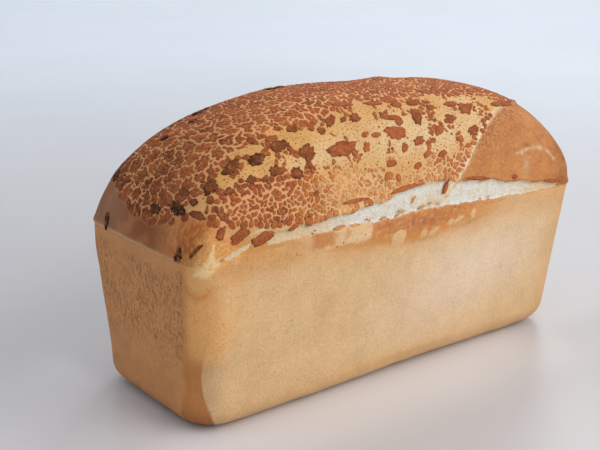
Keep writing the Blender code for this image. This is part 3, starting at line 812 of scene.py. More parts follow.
def strip_inside(points):
    """How far inside the smooth strip down the near corner a place of the wall is."""
    place = from_near_corner(points)
    height = points[:, 2]
    wobble = noise_sum(flat_points(height), STRIP_WOBBLE)
    share = height / STRIP_TOP
    return np.minimum(place - along(STRIP_LEFT, share) - wobble / 2,
                      along(STRIP_RIGHT, share) + wobble - place)


# Shading helpers


def add_node(tree, kind, inputs=None, **options):
    """Add a shader node, set its options, and set or link its inputs."""
    node = tree.nodes.new(kind)
    for key, value in options.items():
        setattr(node, key, value)
    for key, value in (inputs or {}).items():
        if isinstance(value, bpy.types.NodeSocket):
            tree.links.new(value, node.inputs[key])
        else:
            node.inputs[key].default_value = value
    return node


def compute(tree, operation, first, *others):
    """The first value joined with each of the others in turn by math nodes."""
    for value in others:
        first = add_node(tree, "ShaderNodeMath", {0: first, 1: value}, operation=operation).outputs[0]
    return first


def times(tree, *values):
    """Product of values."""
    return compute(tree, "MULTIPLY", *values)


def plus(tree, *values):
    """Sum of values."""
    return compute(tree, "ADD", *values)


def vector(tree, operation, *values):
    """The node of a vector operation."""
    return add_node(tree, "ShaderNodeVectorMath", dict(enumerate(values)), operation=operation)


def spread(tree, value, low, high, to_low, to_high, smooth=False):
    """Map a value's range onto another and hold it there."""
    inputs = {"Value": value, "From Min": low, "From Max": high, "To Min": to_low, "To Max": to_high}
    kind = "SMOOTHSTEP" if smooth else "LINEAR"
    return add_node(tree, "ShaderNodeMapRange", inputs, interpolation_type=kind).outputs[0]


def mix_colours(tree, share, first, second):
    """Mix two colours, each a socket or a plain colour."""
    first, second = (colour if isinstance(colour, bpy.types.NodeSocket) else (*colour, 1.0)
                     for colour in (first, second))
    return add_node(tree, "ShaderNodeMix", {0: share, 6: first, 7: second}, data_type="RGBA").outputs[2]


def mix_values(tree, share, first, second):
    """Mix two values."""
    return add_node(tree, "ShaderNodeMix", {0: share, 2: first, 3: second}, data_type="FLOAT").outputs[0]


def grain(tree, place, size, detail=3.0, roughness=0.55, bend=0.0):
    """Noise with features of the given size."""
    inputs = {"Vector": place, "Scale": 1 / size, "Detail": detail, "Roughness": roughness,
              "Distortion": bend}
    return add_node(tree, "ShaderNodeTexNoise", inputs).outputs["Fac"]


def cells(tree, place, size, **options):
    """Cells of the given size."""
    inputs = {"Vector": place, "Scale": 1 / size}
    return add_node(tree, "ShaderNodeTexVoronoi", inputs, **options).outputs


def attribute(tree, name, colour=False):
    """A value that the mesh carries."""
    outputs = add_node(tree, "ShaderNodeAttribute", attribute_name=name).outputs
    return outputs["Color" if colour else "Fac"]


def start_material(name, specular):
    """A new Principled material, its tree, its shader and its Object coordinates."""
    material = bpy.data.materials.new(name)
    material.use_nodes = True
    tree = material.node_tree
    shader = tree.nodes["Principled BSDF"]
    shader.inputs["Specular IOR Level"].default_value = specular
    place = add_node(tree, "ShaderNodeTexCoord").outputs["Object"]
    return material, tree, shader, place


def set_bump(tree, shader, height_in_mm, strength=1.0):
    """Drive a shader's normal by a height in millimetres."""
    inputs = {"Height": height_in_mm, "Distance": MM, "Strength": strength}
    bump = add_node(tree, "ShaderNodeBump", inputs)
    tree.links.new(bump.outputs[0], shader.inputs["Normal"])


def scaled_colour(tree, colour, share):
    """Make a colour lighter or darker."""
    inputs = {0: colour, "Scale": share}
    return add_node(tree, "ShaderNodeVectorMath", inputs, operation="SCALE").outputs[0]


def freckled(tree, place, colour, settings):
    """Skin's colour with stains, freckles and grains of paste, and the height of the grains."""
    amount = attribute(tree, "freckles")
    stains = spread(tree, grain(tree, place, 0.0016, 4, 0.65), 0.46, 0.64, 0.0, 0.42)
    colour = mix_colours(tree, times(tree, stains, amount), colour, settings.orange)
    dots = cells(tree, place, 0.0015)
    chance = add_node(tree, "ShaderNodeSeparateColor", {0: dots["Color"]}).outputs[0]
    dot = spread(tree, dots["Distance"], 0.16, 0.27, 1.0, 0.0)
    freckles = times(tree, dot, spread(tree, chance, 0.45, 0.75, 0.0, 1.0), amount)
    colour = mix_colours(tree, freckles, colour, settings.freckle)
    lumps = spread(tree, grain(tree, place, 0.0017, 3, 0.6), 0.47, 0.60, 0.0, 1.0, True)
    lumps = times(tree, lumps, attribute(tree, "grains"))
    return mix_colours(tree, times(tree, lumps, 0.78), colour, settings.freckle), lumps


def pitted(tree, place, colour, settings):
    """Skin's colour with the slits and the round pores of the walls, and the depths of both."""
    drawn_out = {"Vector": place, "Scale": (1.0, 1.0, 0.42)}
    upright = add_node(tree, "ShaderNodeMapping", drawn_out).outputs[0]
    slits = spread(tree, grain(tree, upright, 0.0013, 2, 0.6, 0.9), 0.52, 0.60, 0.0, 1.0, True)
    sparse = spread(tree, grain(tree, place, 0.009, 2), 0.38, 0.58, 0.50, 1.0)
    slits = times(tree, slits, sparse, attribute(tree, "pits"))
    holes = spread(tree, cells(tree, place, 0.0014)["Distance"], 0.10, 0.30, 1.0, 0.0, True)
    patchy = spread(tree, grain(tree, place, 0.006, 2), 0.42, 0.62, 0.0, 1.0)
    holes = times(tree, holes, patchy, attribute(tree, "pores"))
    for share, marks in ((0.58, slits), (0.50, holes)):
        colour = mix_colours(tree, times(tree, marks, share), colour, settings.pit)
    return colour, slits, holes


def torn_crumb(tree, place, fine, settings):
    """Colour of the torn dough, and the share of it."""
    frayed = plus(tree, attribute(tree, "torn"), spread(tree, fine, *MIDDLE, -0.35, 0.35))
    creamy = spread(tree, grain(tree, place, 0.0035, 4), 0.46, 0.72, 0.0, 0.9)
    creamy = add_node(tree, "ShaderNodeMath", {0: creamy, 1: attribute(tree, "cream")},
                      operation="ADD", use_clamp=True).outputs[0]
    crumb = mix_colours(tree, creamy, settings.crumb, settings.crumb_cream)
    crumb = scaled_colour(tree, crumb, spread(tree, fine, *MIDDLE, 0.94, 1.02))
    return crumb, spread(tree, frayed, -0.15, 0.22, 0.0, 1.0, True)


def skin_material(settings):
    """Baked dough: mottled skin, pits and pores of the walls, freckles and torn crumb."""
    material, tree, shader, place = start_material("baked_skin", 0.20)
    slow = spread(tree, grain(tree, place, 0.011, 4), 0.30, 0.70, 0.95, 1.05)
    fine = grain(tree, place, 0.0013, 3)
    tiny = grain(tree, place, 0.00045, 2)
    shade = times(tree, slow, spread(tree, fine, *MIDDLE, 0.91, 1.08),
                  spread(tree, tiny, *MIDDLE, 0.92, 1.07))
    colour = scaled_colour(tree, attribute(tree, "tone", colour=True), shade)
    colour, lumps = freckled(tree, place, colour, settings)
    colour, slits, holes = pitted(tree, place, colour, settings)
    crumb, torn = torn_crumb(tree, place, fine, settings)
    tree.links.new(mix_colours(tree, torn, colour, crumb), shader.inputs["Base Color"])

    rough = spread(tree, fine, *MIDDLE, 0.50, 0.64)
    tree.links.new(mix_values(tree, torn, rough, 0.92), shader.inputs["Roughness"])
    marks = ((slits, -0.32), (holes, -0.16), (lumps, 0.20))
    dents = plus(tree, spread(tree, fine, *WIDE, 0.0, 0.15), spread(tree, tiny, *WIDE, 0.0, 0.05),
                 *(spread(tree, mark, 0.0, 1.0, 0.0, depth) for mark, depth in marks))
    fibres = spread(tree, grain(tree, place, 0.0012, 4, 0.6), *MIDDLE, 0.0, 0.35)
    set_bump(tree, shader, mix_values(tree, torn, dents, fibres))
    return material


def paste_material(settings):
    """Crisp paste: mottled plates with pale hairline cracks."""
    material, tree, shader, place = start_material("crisp_paste", 0.06)
    fine = grain(tree, place, 0.0011, 4, 0.6)
    tiny = grain(tree, place, 0.0004, 2)
    shade = times(tree, spread(tree, fine, *MIDDLE, 0.74, 1.24),
                  spread(tree, tiny, *MIDDLE, 0.90, 1.09),
                  spread(tree, grain(tree, place, 0.005, 3), *MIDDLE, 0.90, 1.10))
    edges = cells(tree, place, 0.0015, feature="DISTANCE_TO_EDGE")
    crack = times(tree, spread(tree, edges["Distance"], 0.03, 0.12, 1.0, 0.0),
                  spread(tree, grain(tree, place, 0.003, 2), 0.45, 0.58, 0.0, 0.5))
    colour = scaled_colour(tree, attribute(tree, "tone", colour=True), shade)
    tree.links.new(mix_colours(tree, crack, colour, settings.hairline), shader.inputs["Base Color"])
    tree.links.new(spread(tree, fine, *MIDDLE, 0.50, 0.68), shader.inputs["Roughness"])
    dents = plus(tree, spread(tree, fine, *WIDE, 0.0, 0.26), spread(tree, tiny, *WIDE, 0.0, 0.07),
                 spread(tree, crack, 0.0, 0.5, 0.0, -0.10))
    set_bump(tree, shader, dents)
    return material


def crisp_paste(settings):
    """The paste's material, which is made once."""
    return bpy.data.materials.get("crisp_paste") or paste_material(settings)


def floor_light(tree, place, distance):
    """Painted light on the floor, as a share of its colour: more before the loaf and at its left end,
    where its shadow falls, and less at its right front, where the key light falls brightest.
    """
    x, y, _ = add_node(tree, "ShaderNodeSeparateXYZ", {0: place}).outputs
    beyond = vector(tree, "SUBTRACT", vector(tree, "ABSOLUTE", place).outputs[0],
                    (LENGTH / 2, WIDTH / 2, 0.0)).outputs[0]
    beyond = vector(tree, "MAXIMUM", beyond, (0.0, 0.0, 0.0)).outputs[0]
    beyond = vector(tree, "LENGTH", beyond).outputs["Value"]
    painted_lift = times(tree, spread(tree, y, -0.052, -0.010, 0.33, 0.0, True),
                  spread(tree, x, 0.07, 0.13, 1.0, 0.0, True))
    painted_lift = compute(tree, "MAXIMUM", painted_lift, spread(tree, x, -0.150, -0.130, 0.17, 0.0, True))
    painted_lift = times(tree, painted_lift, spread(tree, beyond, 0.0, 0.060, 1.0, 0.0, True))
    painted_dimming = times(tree, spread(tree, x, 0.02, 0.10, 0.0, -0.12, True),
                   spread(tree, y, -0.075, -0.040, 1.0, 0.0, True),
                   spread(tree, distance, 0.26, 0.42, 1.0, 0.0, True))
    return plus(tree, painted_lift, painted_dimming, 1.0)


def floor_material(settings):
    """Matt paper with a trace of gloss, painted darker and warmer near the loaf than at the backdrop, a
    painted fall of light.
    """
    material, tree, shader, place = start_material("studio_paper", 0.35)
    distance = vector(tree, "LENGTH", place).outputs["Value"]
    share = spread(tree, distance, 0.16, 1.2, 0.0, 1.0, True)
    colour = mix_colours(tree, share, settings.floor_near, settings.floor_far)
    soft = spread(tree, grain(tree, place, 0.20, 2), *MIDDLE, 0.985, 1.015)
    light = times(tree, soft, floor_light(tree, place, distance))
    tree.links.new(scaled_colour(tree, colour, light), shader.inputs["Base Color"])
    shader.inputs["Roughness"].default_value = 0.38
    return material


# Meshes


def finish_piece(mesh, name, material, sharp=None):
    """Make the object of a mesh, shade it and let it ride on the loaf."""
    mesh.materials.append(material)
    mesh.shade_smooth()
    if sharp:
        mesh.set_sharp_from_angle(angle=math.radians(sharp))
    piece = bpy.data.objects.new(name, mesh)
    bpy.context.scene.collection.objects.link(piece)
    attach(piece, "root")
    return piece


def mesh_of(bm, name):
    """Turn a bmesh into a mesh."""
    bmesh.ops.recalc_face_normals(bm, faces=bm.faces[:])
    mesh = bpy.data.meshes.new(name)
    bm.to_mesh(mesh)
    bm.free()
    return mesh


def read_vectors(mesh, name):
    """A vector of every vertex: its co or its normal."""
    values = np.empty(len(mesh.vertices) * 3)
    mesh.vertices.foreach_get(name, values)
    return values.reshape(-1, 3)


def write_points(mesh, points):
    """Move a mesh's vertices."""
    mesh.vertices.foreach_set("co", points.astype(np.float32).ravel())
    mesh.update()


def write_colours(mesh, colours):
    """Store the broad colours of a piece."""
    values = np.column_stack([np.clip(colours, 0.0, 1.0), np.ones(len(colours))])
    layer = mesh.attributes.new("tone", "FLOAT_COLOR", "POINT")
    layer.data.foreach_set("color", values.astype(np.float32).ravel())


def write_values(mesh, name, values):
    """Store a value for every vertex."""
    mesh.attributes.new(name, "FLOAT", "POINT").data.foreach_set("value", values.astype(np.float32))


def blend(colours, share, colour):
    """Mix a colour into an array of colours."""
    return colours + (np.array(colour) - colours) * np.clip(share, 0.0, 1.0)[:, None]


def dab(colours, x, s, patches, share, colour):
    """Mix a colour in at one patch after the other."""
    for strength, *place in patches:
        colours = blend(colours, strength * share * spot(x, s, *place), colour)
    return colours


def tinted(colour, *shares):
    """A colour times shares of red, green and blue, or times one share."""
    return np.array(colour) * shares


def skin_sheet():
    """A sheet of cells whose rim is drawn down level by level and closed at the foot."""
    bm = bmesh.new()
    bmesh.ops.create_grid(bm, x_segments=COLUMNS, y_segments=ROWS, size=1.0)
    rim = [e for e in bm.edges if e.is_boundary]
    for _ in range(RIM_LEVELS + WALL_LEVELS + FILLET_LEVELS):
        made = bmesh.ops.extrude_edge_only(bm, edges=rim)["geom"]
        corners = [v for v in made if isinstance(v, bmesh.types.BMVert)]
        bmesh.ops.translate(bm, verts=corners, vec=(0.0, 0.0, -1.0))
        rim = [e for e in made if isinstance(e, bmesh.types.BMEdge) and e.is_boundary]
    bmesh.ops.contextual_create(bm, geom=rim)
    return mesh_of(bm, "baked_skin")


def skin_places(mesh):
    """x, s, plan and height for every vertex of the skin sheet."""
    spots = read_vectors(mesh, "co")
    column = np.rint((spots[:, 0] + 1) / 2 * COLUMNS).astype(int)
    row = np.rint((spots[:, 1] + 1) / 2 * ROWS).astype(int)
    level = np.rint(-spots[:, 2]).astype(int)
    column_x = np.interp(np.linspace(0, RIDGE_ARC[-1], COLUMNS + 1), RIDGE_ARC, ALONG)
    fine = FINE_ROW_STEP * np.arange(FINE_ROWS)
    row_s = np.concatenate([fine, np.linspace(FINE_ROWS * FINE_ROW_STEP, ARC[-1], ROWS - FINE_ROWS + 1)])
    x, s = column_x[column], row_s[row]
    y = np.interp(s, ARC, ACROSS)
    height = wall_heights()[level]
    evenly = ramp(0.0, EVEN_REACH, RIM_HEIGHT - height)
    plan_x = x + (LENGTH * (column / COLUMNS - 0.5) - x) * evenly
    plan_y = y + (WIDTH * (row / ROWS - 0.5) - y) * evenly
    return x, s, plan_x, plan_y, height, level == 0


def ease_corners(mesh, points, crown):
    """Soften the crease that runs up each corner of the crown from the rim."""
    ends = np.empty(len(mesh.edges) * 2, np.int32)
    mesh.edges.foreach_get("vertices", ends)
    first, second = ends[0::2], ends[1::2]
    count = np.bincount(np.concatenate([first, second]), minlength=len(points))
    over = points[:, 2] - RIM_HEIGHT
    x, y = points[:, 0], points[:, 1]
    share = (ramp(LENGTH / 2 - 1.7 * RIM_CORNER, LENGTH / 2 - 1.1 * RIM_CORNER, np.abs(x))
             * ramp(WIDTH / 2 - 1.7 * RIM_CORNER, WIDTH / 2 - 1.1 * RIM_CORNER, np.abs(y))
             * fade(0.012, 0.022, over) * crown * (over > 1e-5))
    front = (y < 0) & (np.abs(x) < LENGTH / 2 - RIM_CORNER * 0.6)
    share = np.maximum(share, front * fade(0.003, 0.007, np.abs(over)))
    near = np.clip(1.6 * spot(x, y, -LENGTH / 2, -WIDTH / 2, 0.020, 0.020), 0, 1)
    near = near * ramp(-0.014, -0.004, over) * fade(0.018, 0.030, over)
    share = np.maximum(share, near)
    for _ in range(CORNER_PASSES):
        total = np.zeros_like(points)
        for axis in range(3):
            total[:, axis] = (np.bincount(first, points[second, axis], len(points))
                              + np.bincount(second, points[first, axis], len(points)))
        points = points + 0.5 * share[:, None] * (total / count[:, None] - points)
    return points


def stretched_tones(x, s, band, patches, settings):
    """Colours of the skin in the veins and on the stretched band."""
    tones = np.tile(np.array(settings.vein), (len(x), 1))
    tones = blend(tones, 0.12 * fade(-0.120, -0.050, x) * (1 - band), settings.orange)
    tones = blend(tones, band, settings.gold)
    tones = blend(tones, band * (spots_at(x, s, PALE_BAND) + 0.25 * patches), settings.pale)
    low_front = fade(0.030, 0.040, s) * ramp(-0.105, -0.035, x)
    tones = blend(tones, 0.50 * low_front * (1 - band), settings.pale)
    return blend(tones, 0.30 * ramp(0.07, 0.10, s), settings.orange)


def pale_streak(x, s, spots, small):
    """Share of the pale streak that crosses the smooth skin at the right."""
    line = through(x, STREAK) + 0.0012 * small
    broken = np.clip(0.9 + 0.9 * noise_at(spots, 0.0040, 63), 0, 1)
    ends = ramp(0.081, 0.084, x) * fade(0.117, 0.120, x)
    strength = 0.75 + 0.2 * np.clip((x - 0.083) / 0.033, 0, 1)
    return strength * broken * bell(s - line, 0.0015) * ends


def right_tones(tones, x, s, right, past, spots, patches, small, settings):
    """Colour the smooth skin at the right of the fold."""
    tones = blend(tones, right, settings.orange)
    mottled = 0.34 * ramp(0.0, 0.6, patches) + 0.20 * ramp(0.0, 0.5, small)
    tones = blend(tones, right * mottled, settings.brown)
    tones = blend(tones, right * 0.40 * ramp(0.0, 0.6, -patches), settings.gold)
    tones = blend(tones, right * 0.72 * ramp(0.108, 0.136, x), settings.brown)
    specks = noise_at(spots, 0.0021, 59)
    grainy = ramp(0.0, 0.45, specks) * (0.25 + 0.75 * bell(past, 0.020))
    tones = blend(tones, right * 0.42 * grainy * ramp(0.020, 0.034, s), settings.brown)
    tones = blend(tones, right * 0.35 * ramp(0.1, 0.5, -specks), settings.gold)
    tones = blend(tones, right * pale_streak(x, s, spots, small), settings.pale)
    tones = dab(tones, x, s, PALE_RIGHT, right, settings.pale)
    return dab(tones, x, s, DARK_RIGHT, right, tinted(settings.brown, 0.7))


def left_tones(tones, x, s, height, left, near, patches, settings):
    """Colour the skin round the small tears and the smooth skin at the left end, with painted light over
    the near corner and a painted sheen at the back.
    """
    beside = ramp(-0.0015, 0.0015, crackle_foot(x) - s) * fade(-0.090, -0.078, x)
    tones = blend(tones, 0.85 * beside, tinted(settings.gold, *TEAR_SHADE))
    tones = blend(tones, 0.45 * beside * ramp(-0.2, 0.5, patches), settings.pale)
    tones = blend(tones, left * near, settings.ember)
    # Painted light: the crown over the near corner, and its rim beside the wall, take the lighter corner
    # colour, as if lit
    top_corner = left * fade(0.022, 0.046, s)
    tones = blend(tones, top_corner, tinted(settings.corner, *TOP_CORNER_SHADE))
    low_corner = fade(0.048, 0.058, s) * fade(0.001, 0.008, height)
    tones = blend(tones, left * low_corner, settings.corner)
    tones = blend(tones, left * (1 - near), settings.brown)
    upright = np.column_stack([x, s, height])
    clouds = ramp(0.0, 0.6, noise_at(upright, 0.010, 57))
    tones = blend(tones, left * (0.45 - 0.35 * near) * clouds, settings.orange)
    specks = ramp(0.0, 0.5, noise_at(upright, 0.0026, 65))
    tones = blend(tones, left * 0.22 * specks, settings.brown)
    tones = dab(tones, x, s, BROWN_LEFT, left, settings.brown)
    mottled = noise_at(upright, 0.0028, 67)
    tones = blend(tones, left * near * 0.20 * ramp(0.0, 0.5, mottled), settings.brown)
    tones = blend(tones, left * near * 0.55 * ramp(-0.1, 0.5, -mottled), settings.gold)
    tones = dab(tones, x, s, SHEEN_LEFT, left, tinted(settings.flour, *SHEEN_SHADE))
    ring_x, ring_s, reach_x, reach_s = BURNT_RING
    ring = np.abs(np.hypot((x - ring_x) / reach_x, (s - ring_s) / reach_s) - 1)
    return blend(tones, 0.9 * bell(ring, 0.45), settings.char)


def crown_tones(x, s, height, settings):
    """Broad colours of the skin on the crown, its freckles and its grains."""
    spots = np.column_stack([x, s, height * ramp(0.118, 0.134, x)])
    patches = noise_at(spots, 0.012, 51)
    small = noise_at(spots, 0.0045, 53)
    band = band_share(x, s)
    past = past_fold(x, s)
    bare = bare_height(x, s) - height
    right = np.maximum(ramp(-0.001, 0.001, past), ramp(-0.002, 0.004, bare) * (x > 0))
    left = ramp(-0.003, 0.003, bare) * (x < 0)
    near = fade(0.056, 0.088, s)
    tones = stretched_tones(x, s, band, patches, settings)
    tones = right_tones(tones, x, s, right, past, spots, patches, small, settings)
    tones = left_tones(tones, x, s, height, left, near, patches, settings)

    back = ramp(0.0, 0.006, s - back_edge(x))
    shade = (0.95 - 0.12 * ramp(0, 0.5, patches))[:, None]
    tones = blend(tones, back, np.array(settings.orange) * shade)
    rim = bell(height, MM) * ramp(0.130, 0.137, np.abs(x)) * ramp(0.050, 0.062, s)
    tones = blend(tones, 0.75 * rim, settings.wall)
    crease = bell(fold_gap(x, s), 0.0017) * (1 - 0.85 * ramp(0.052, 0.068, s))
    tones = blend(tones, crease, settings.flour)
    freckles = band * 0.95 + 0.35 * (1 - band) * (1 - right) * (1 - left) + 0.25 * right
    near_fold = bell(np.maximum(past, 0.0), 0.024) * ramp(0.024, 0.040, s)
    grains = right * (0.30 + 0.70 * near_fold) + 0.30 * left * near
    return tones, np.clip(freckles, 0.0, 1.0), np.clip(grains * (1 - crease), 0.0, 1.0)


def below_burst(x, s):
    """1 on the crown between the front rim and the torn dough, where the wall goes on."""
    foot, _ = burst_edges(x)
    edge = np.where(x < -0.088, 0.0045 * ramp(-0.130, -0.118, x), foot)
    return fade(-0.0008, 0.0006, s - edge)


def blister_shape(points):
    """How much of a blister is at each place of the front wall, 1 in its middle."""
    x, y, height = points.T
    drop = RIM_HEIGHT - height
    ragged = noise_sum(points, BLISTER_RAG)
    shape = np.zeros(len(points))
    for blister_x, blister_drop, length, tall, turn in BLISTERS:
        a = math.radians(turn)
        u = (x - blister_x) * math.cos(a) - (drop - blister_drop) * math.sin(a)
        v = -(drop - blister_drop) * math.cos(a) - (x - blister_x) * math.sin(a)
        shape = np.maximum(shape, 1 - np.hypot(2 * u / length, 2 * v / tall) ** 2 + ragged)
    return np.clip(shape, 0, 1) * (y < FRONT_FACE)


def panel_edge(points):
    """Wandering of the upright edge between the end wall and the near corner."""
    return 0.0009 * noise_at(points, 0.006, 47)


class WallPlaces:
    """Places on the walls, with the noises and the shares that their colours are made of."""

    def __init__(self, points):
        self.x, self.y, self.height = points.T
        self.drop = RIM_HEIGHT - self.height
        self.turned = from_near_corner(points)
        self.patches = noise_at(points, 0.030, 61)
        self.small = noise_at(points, 0.011, 67)
        self.fine = noise_at(points, 0.0042, 69)
        self.tiny = noise_at(points, 0.0020, 77)
        self.front = ramp(0.002, 0.012, self.turned) * (self.y < 0)
        end = fade(-0.009, 0.001, self.turned) * (self.x < -0.1)
        self.end = end * np.where(self.y > 0, 1 - ramp(-0.134, -0.120, self.x), 1.0)
        self.upper_left = spot(self.turned, self.height, 0.004, 0.070, 0.020, 0.022)
        near = (self.x < -0.1) & (self.y < 0)
        strip = ramp(-0.0006, 0.0006, strip_inside(points)) * near
        self.strip = strip * fade(0.036, 0.054, self.height)
        # Where light is painted on the rounded near corner, from the end wall's edge towards the front
        edge = -0.0112 + panel_edge(points) - 0.0030 * ramp(0.084, 0.0915, self.height)
        self.painted_corner_light = (ramp(-0.0013, 0.0013, self.turned - edge)
                     * bell(np.maximum(self.turned + 0.002, 0), 0.011) * near)
        self.ragged_drop = self.drop + 0.0010 * self.small + 0.0007 * self.tiny
        self.add_glaze()

    def add_glaze(self):
        """Shares of the glaze under the burst and of the pale shelf at its left."""
        shelf_end = self.x + 0.0316 - 0.0026 * self.fine - 0.0008 * self.tiny
        past_shelf = ramp(-0.0008, 0.0008, shelf_end)
        self.depth = through(self.x, GLAZE_DEPTH)
        ragged = self.drop + 0.0014 * self.fine + 0.0006 * self.tiny
        self.glaze = (fade(self.depth - 0.0010, self.depth + 0.0024, ragged)
                      * past_shelf * fade(0.038, 0.056, self.x) * self.front)
        self.shelf = (ramp(-0.062, -0.050, self.x + 0.002 * self.fine) * (1 - past_shelf)
                      * self.front * fade(0.0030, 0.0044, self.ragged_drop))


def plain_wall_tones(w, settings):
    """Colours of the wall's skin, with a painted sheen on the front wall and painted light by the near
    corner.
    """
    tones = np.tile(np.array(settings.wall), (len(w.x), 1))
    mottled = (0.20 * ramp(0.0, 0.6, w.patches) + 0.10 * ramp(0, 0.5, w.small)
               + 0.12 * ramp(0.0, 0.5, w.fine))
    tones = blend(tones, mottled, settings.wall_tan)
    # Painted sheen: the front wall is made paler where the light catches it
    tones = blend(tones, 0.75 * spots_at(w.x, w.height, WALL_SHEEN) * w.front, settings.wall_sheen)
    tones = blend(tones, 0.6 * ramp(0.104, 0.134, w.x), settings.wall_tan)
    tones = blend(tones, 0.35 * bell(w.height - 0.008, 0.010), settings.wall_tan)
    # Painted light: the lighter corner colour runs onto the upper wall beside the near corner
    tones = blend(tones, (0.30 + 0.30 * w.small) * w.upper_left * (w.y < 0), settings.corner)
    return dab(tones, w.turned, w.height, ORANGE_CORNER, w.y < 0, settings.orange)


def near_wall_tones(tones, w, settings):
    """Colour the left end wall, the strip down the near corner and the painted light beside it."""
    tones = blend(tones, w.end, settings.end)
    shade = tinted(settings.end, 0.78)
    tones = blend(tones, w.end * 0.45 * fade(-0.100, -0.070, w.turned), shade)
    tones = blend(tones, w.end * 0.40 * ramp(0.0, 0.6, w.small), shade)
    tones = blend(tones, w.end * 0.30 * bell(w.height - 0.010, 0.012), tinted(settings.end, 0.8))
    tones = blend(tones, w.strip, settings.strip)
    foot = fade(0.006, 0.018, w.height)
    tones = blend(tones, 0.8 * w.strip * foot, tinted(settings.strip, *FOOT_SHADE))
    # Painted light: the upper part of the rounded near corner takes the lighter corner colour, as if lit
    upper = ramp(0.034, 0.050, w.height)
    tones = blend(tones, (0.80 + 0.2 * w.small) * w.painted_corner_light * upper, settings.corner)
    margin = fade(-0.0105, -0.0060, w.turned)
    return blend(tones, 0.55 * w.painted_corner_light * margin, tinted(settings.strip, 0.9))


def glaze_tones(tones, w, settings):
    """Colour the glaze under the burst, with the golden skin round it."""
    tears = ramp(-0.132, -0.120, w.x) * fade(-0.086, -0.070, w.x) * w.front
    below = bell(np.maximum(w.drop, 0), 0.0065)
    tones = blend(tones, (0.55 + 0.30 * w.small + 0.20 * w.fine) * tears * below,
                  tinted(settings.gold, *TEAR_SHADE))
    reach = ramp(-0.070, -0.030, w.x) * fade(0.050, 0.085, w.x) * w.front
    halo = bell(np.maximum(w.drop - 0.002, 0), 0.0100)
    tones = blend(tones, (0.30 + 0.50 * reach + 0.12 * w.small) * halo * w.front, settings.glaze_gold)
    tones = blend(tones, w.glaze, settings.glaze)
    margin = ramp(-0.0005, 0.0030, w.drop - w.depth + 0.0042 + 0.0012 * w.fine)
    tones = blend(tones, w.glaze * 0.85 * margin, settings.glaze_gold)
    upper = np.clip(1.15 - w.drop / 0.0065, 0, 1)
    dark = (0.35 * ramp(0.0, 0.5, w.fine) + 0.45 * spot(w.x, w.drop, 0.004, 0.002, 0.020, 0.0045)
            + 0.3 * ramp(0.0, 0.5, w.tiny))
    tones = blend(tones, w.glaze * upper * dark, settings.glaze_dark)
    return blend(tones, w.glaze * 0.55 * ramp(0.25, 0.6, -w.tiny), settings.bubble)


def shelf_tones(tones, w, settings):
    """Colour the pale shelf, the crust at its left and the line that ends the glaze."""
    tones = blend(tones, 0.80 * w.shelf, (np.array(settings.flour) + settings.bubble) / 2)
    glazed = ramp(0.10, 0.45, -w.fine) * fade(-0.046, -0.038, w.x)
    tones = blend(tones, 0.55 * w.shelf * glazed, settings.glaze)
    below = bell(w.ragged_drop - 0.0052, 0.0016)
    below = below * ramp(-0.062, -0.050, w.x) * fade(-0.0325, -0.030, w.x)
    tones = blend(tones, 0.55 * below * w.front, settings.glaze_gold)
    crust = ramp(-0.0745, -0.0690, w.x + 0.002 * w.fine) * w.front
    crust = crust * fade(-0.060, -0.054, w.x + 0.002 * w.tiny)
    crust = crust * fade(0.0008, 0.0034, w.drop + 0.0012 * w.fine)
    tones = blend(tones, 0.85 * crust, tinted(settings.glaze, *CRUST_SHADE))
    line = bell(w.drop - through(w.x, GLAZE_LINE) - 0.0006 * w.tiny, 0.0013)
    line = line * ramp(-0.045, -0.025, w.x) * fade(0.050, 0.066, w.x)
    return blend(tones, 0.45 * line * w.front, settings.strip)


def wall_tones(points, settings):
    """Broad colours of the walls, and how pitted and porous they are."""
    w = WallPlaces(points)
    tones = plain_wall_tones(w, settings)
    tones = near_wall_tones(tones, w, settings)
    tones = glaze_tones(tones, w, settings)
    tones = shelf_tones(tones, w, settings)
    tones = blend(tones, ramp(0.12, 0.30, blister_shape(points)), settings.bubble)
    tones = dab(tones, w.x, w.height, GOLD_FOOT, w.front, settings.gold)

    upper = ramp(0.030, 0.050, w.height) * fade(0.080, 0.090, w.height)
    pits = w.end * (0.25 * fade(0.080, 0.090, w.height) + 0.75 * upper)
    right_end = ramp(0.126, 0.139, w.x) * ramp(0.03, 0.06, w.height)
    pits = np.maximum(pits, 0.75 * right_end)
    pits = pits * (1 - 0.85 * w.painted_corner_light) + 0.12 * w.upper_left * w.front
    pores = 0.50 + 0.50 * w.end + 0.50 * bell(w.x + 0.10, 0.05)
    covered = np.maximum(w.strip, np.maximum(w.glaze, w.shelf))
    return tones, np.clip(pits * (1 - covered), 0, 1), np.clip(pores * (1 - 0.7 * covered), 0, 1)


def near_line(points, line):
    """1 on a line through places with a radius at each, and fading away from it."""
    share = np.zeros(len(points))
    for (*start, start_radius), (*end, end_radius) in zip(line, line[1:]):
        start, end = np.array(start), np.array(end)
        t = np.clip((points - start) @ (end - start) / ((end - start) @ (end - start)), 0, 1)
        gap = np.linalg.norm(points - start - t[:, None] * (end - start), axis=1)
        share = np.maximum(share, np.exp(-(gap / (start_radius + t * (end_radius - start_radius))) ** 2))
    return share


def corner_tones(tones, points, settings):
    """Add the marks that run over the near corner from the wall to the crown."""
    stray = [noise_at(points, 0.004, shift) for shift in (131, 133, 137)]
    moved = points + 0.0008 * np.column_stack(stray)
    tones = blend(tones, 0.60 * near_line(moved, CORNER_LOOP), settings.ember)
    patch = near_line(moved, CORNER_PATCH)
    ragged = patch + 0.20 * noise_at(points, 0.0022, 139)
    share = 0.45 * patch + 0.55 * ramp(0.25, 0.65, ragged)
    return blend(tones, 0.90 * share, settings.cream)


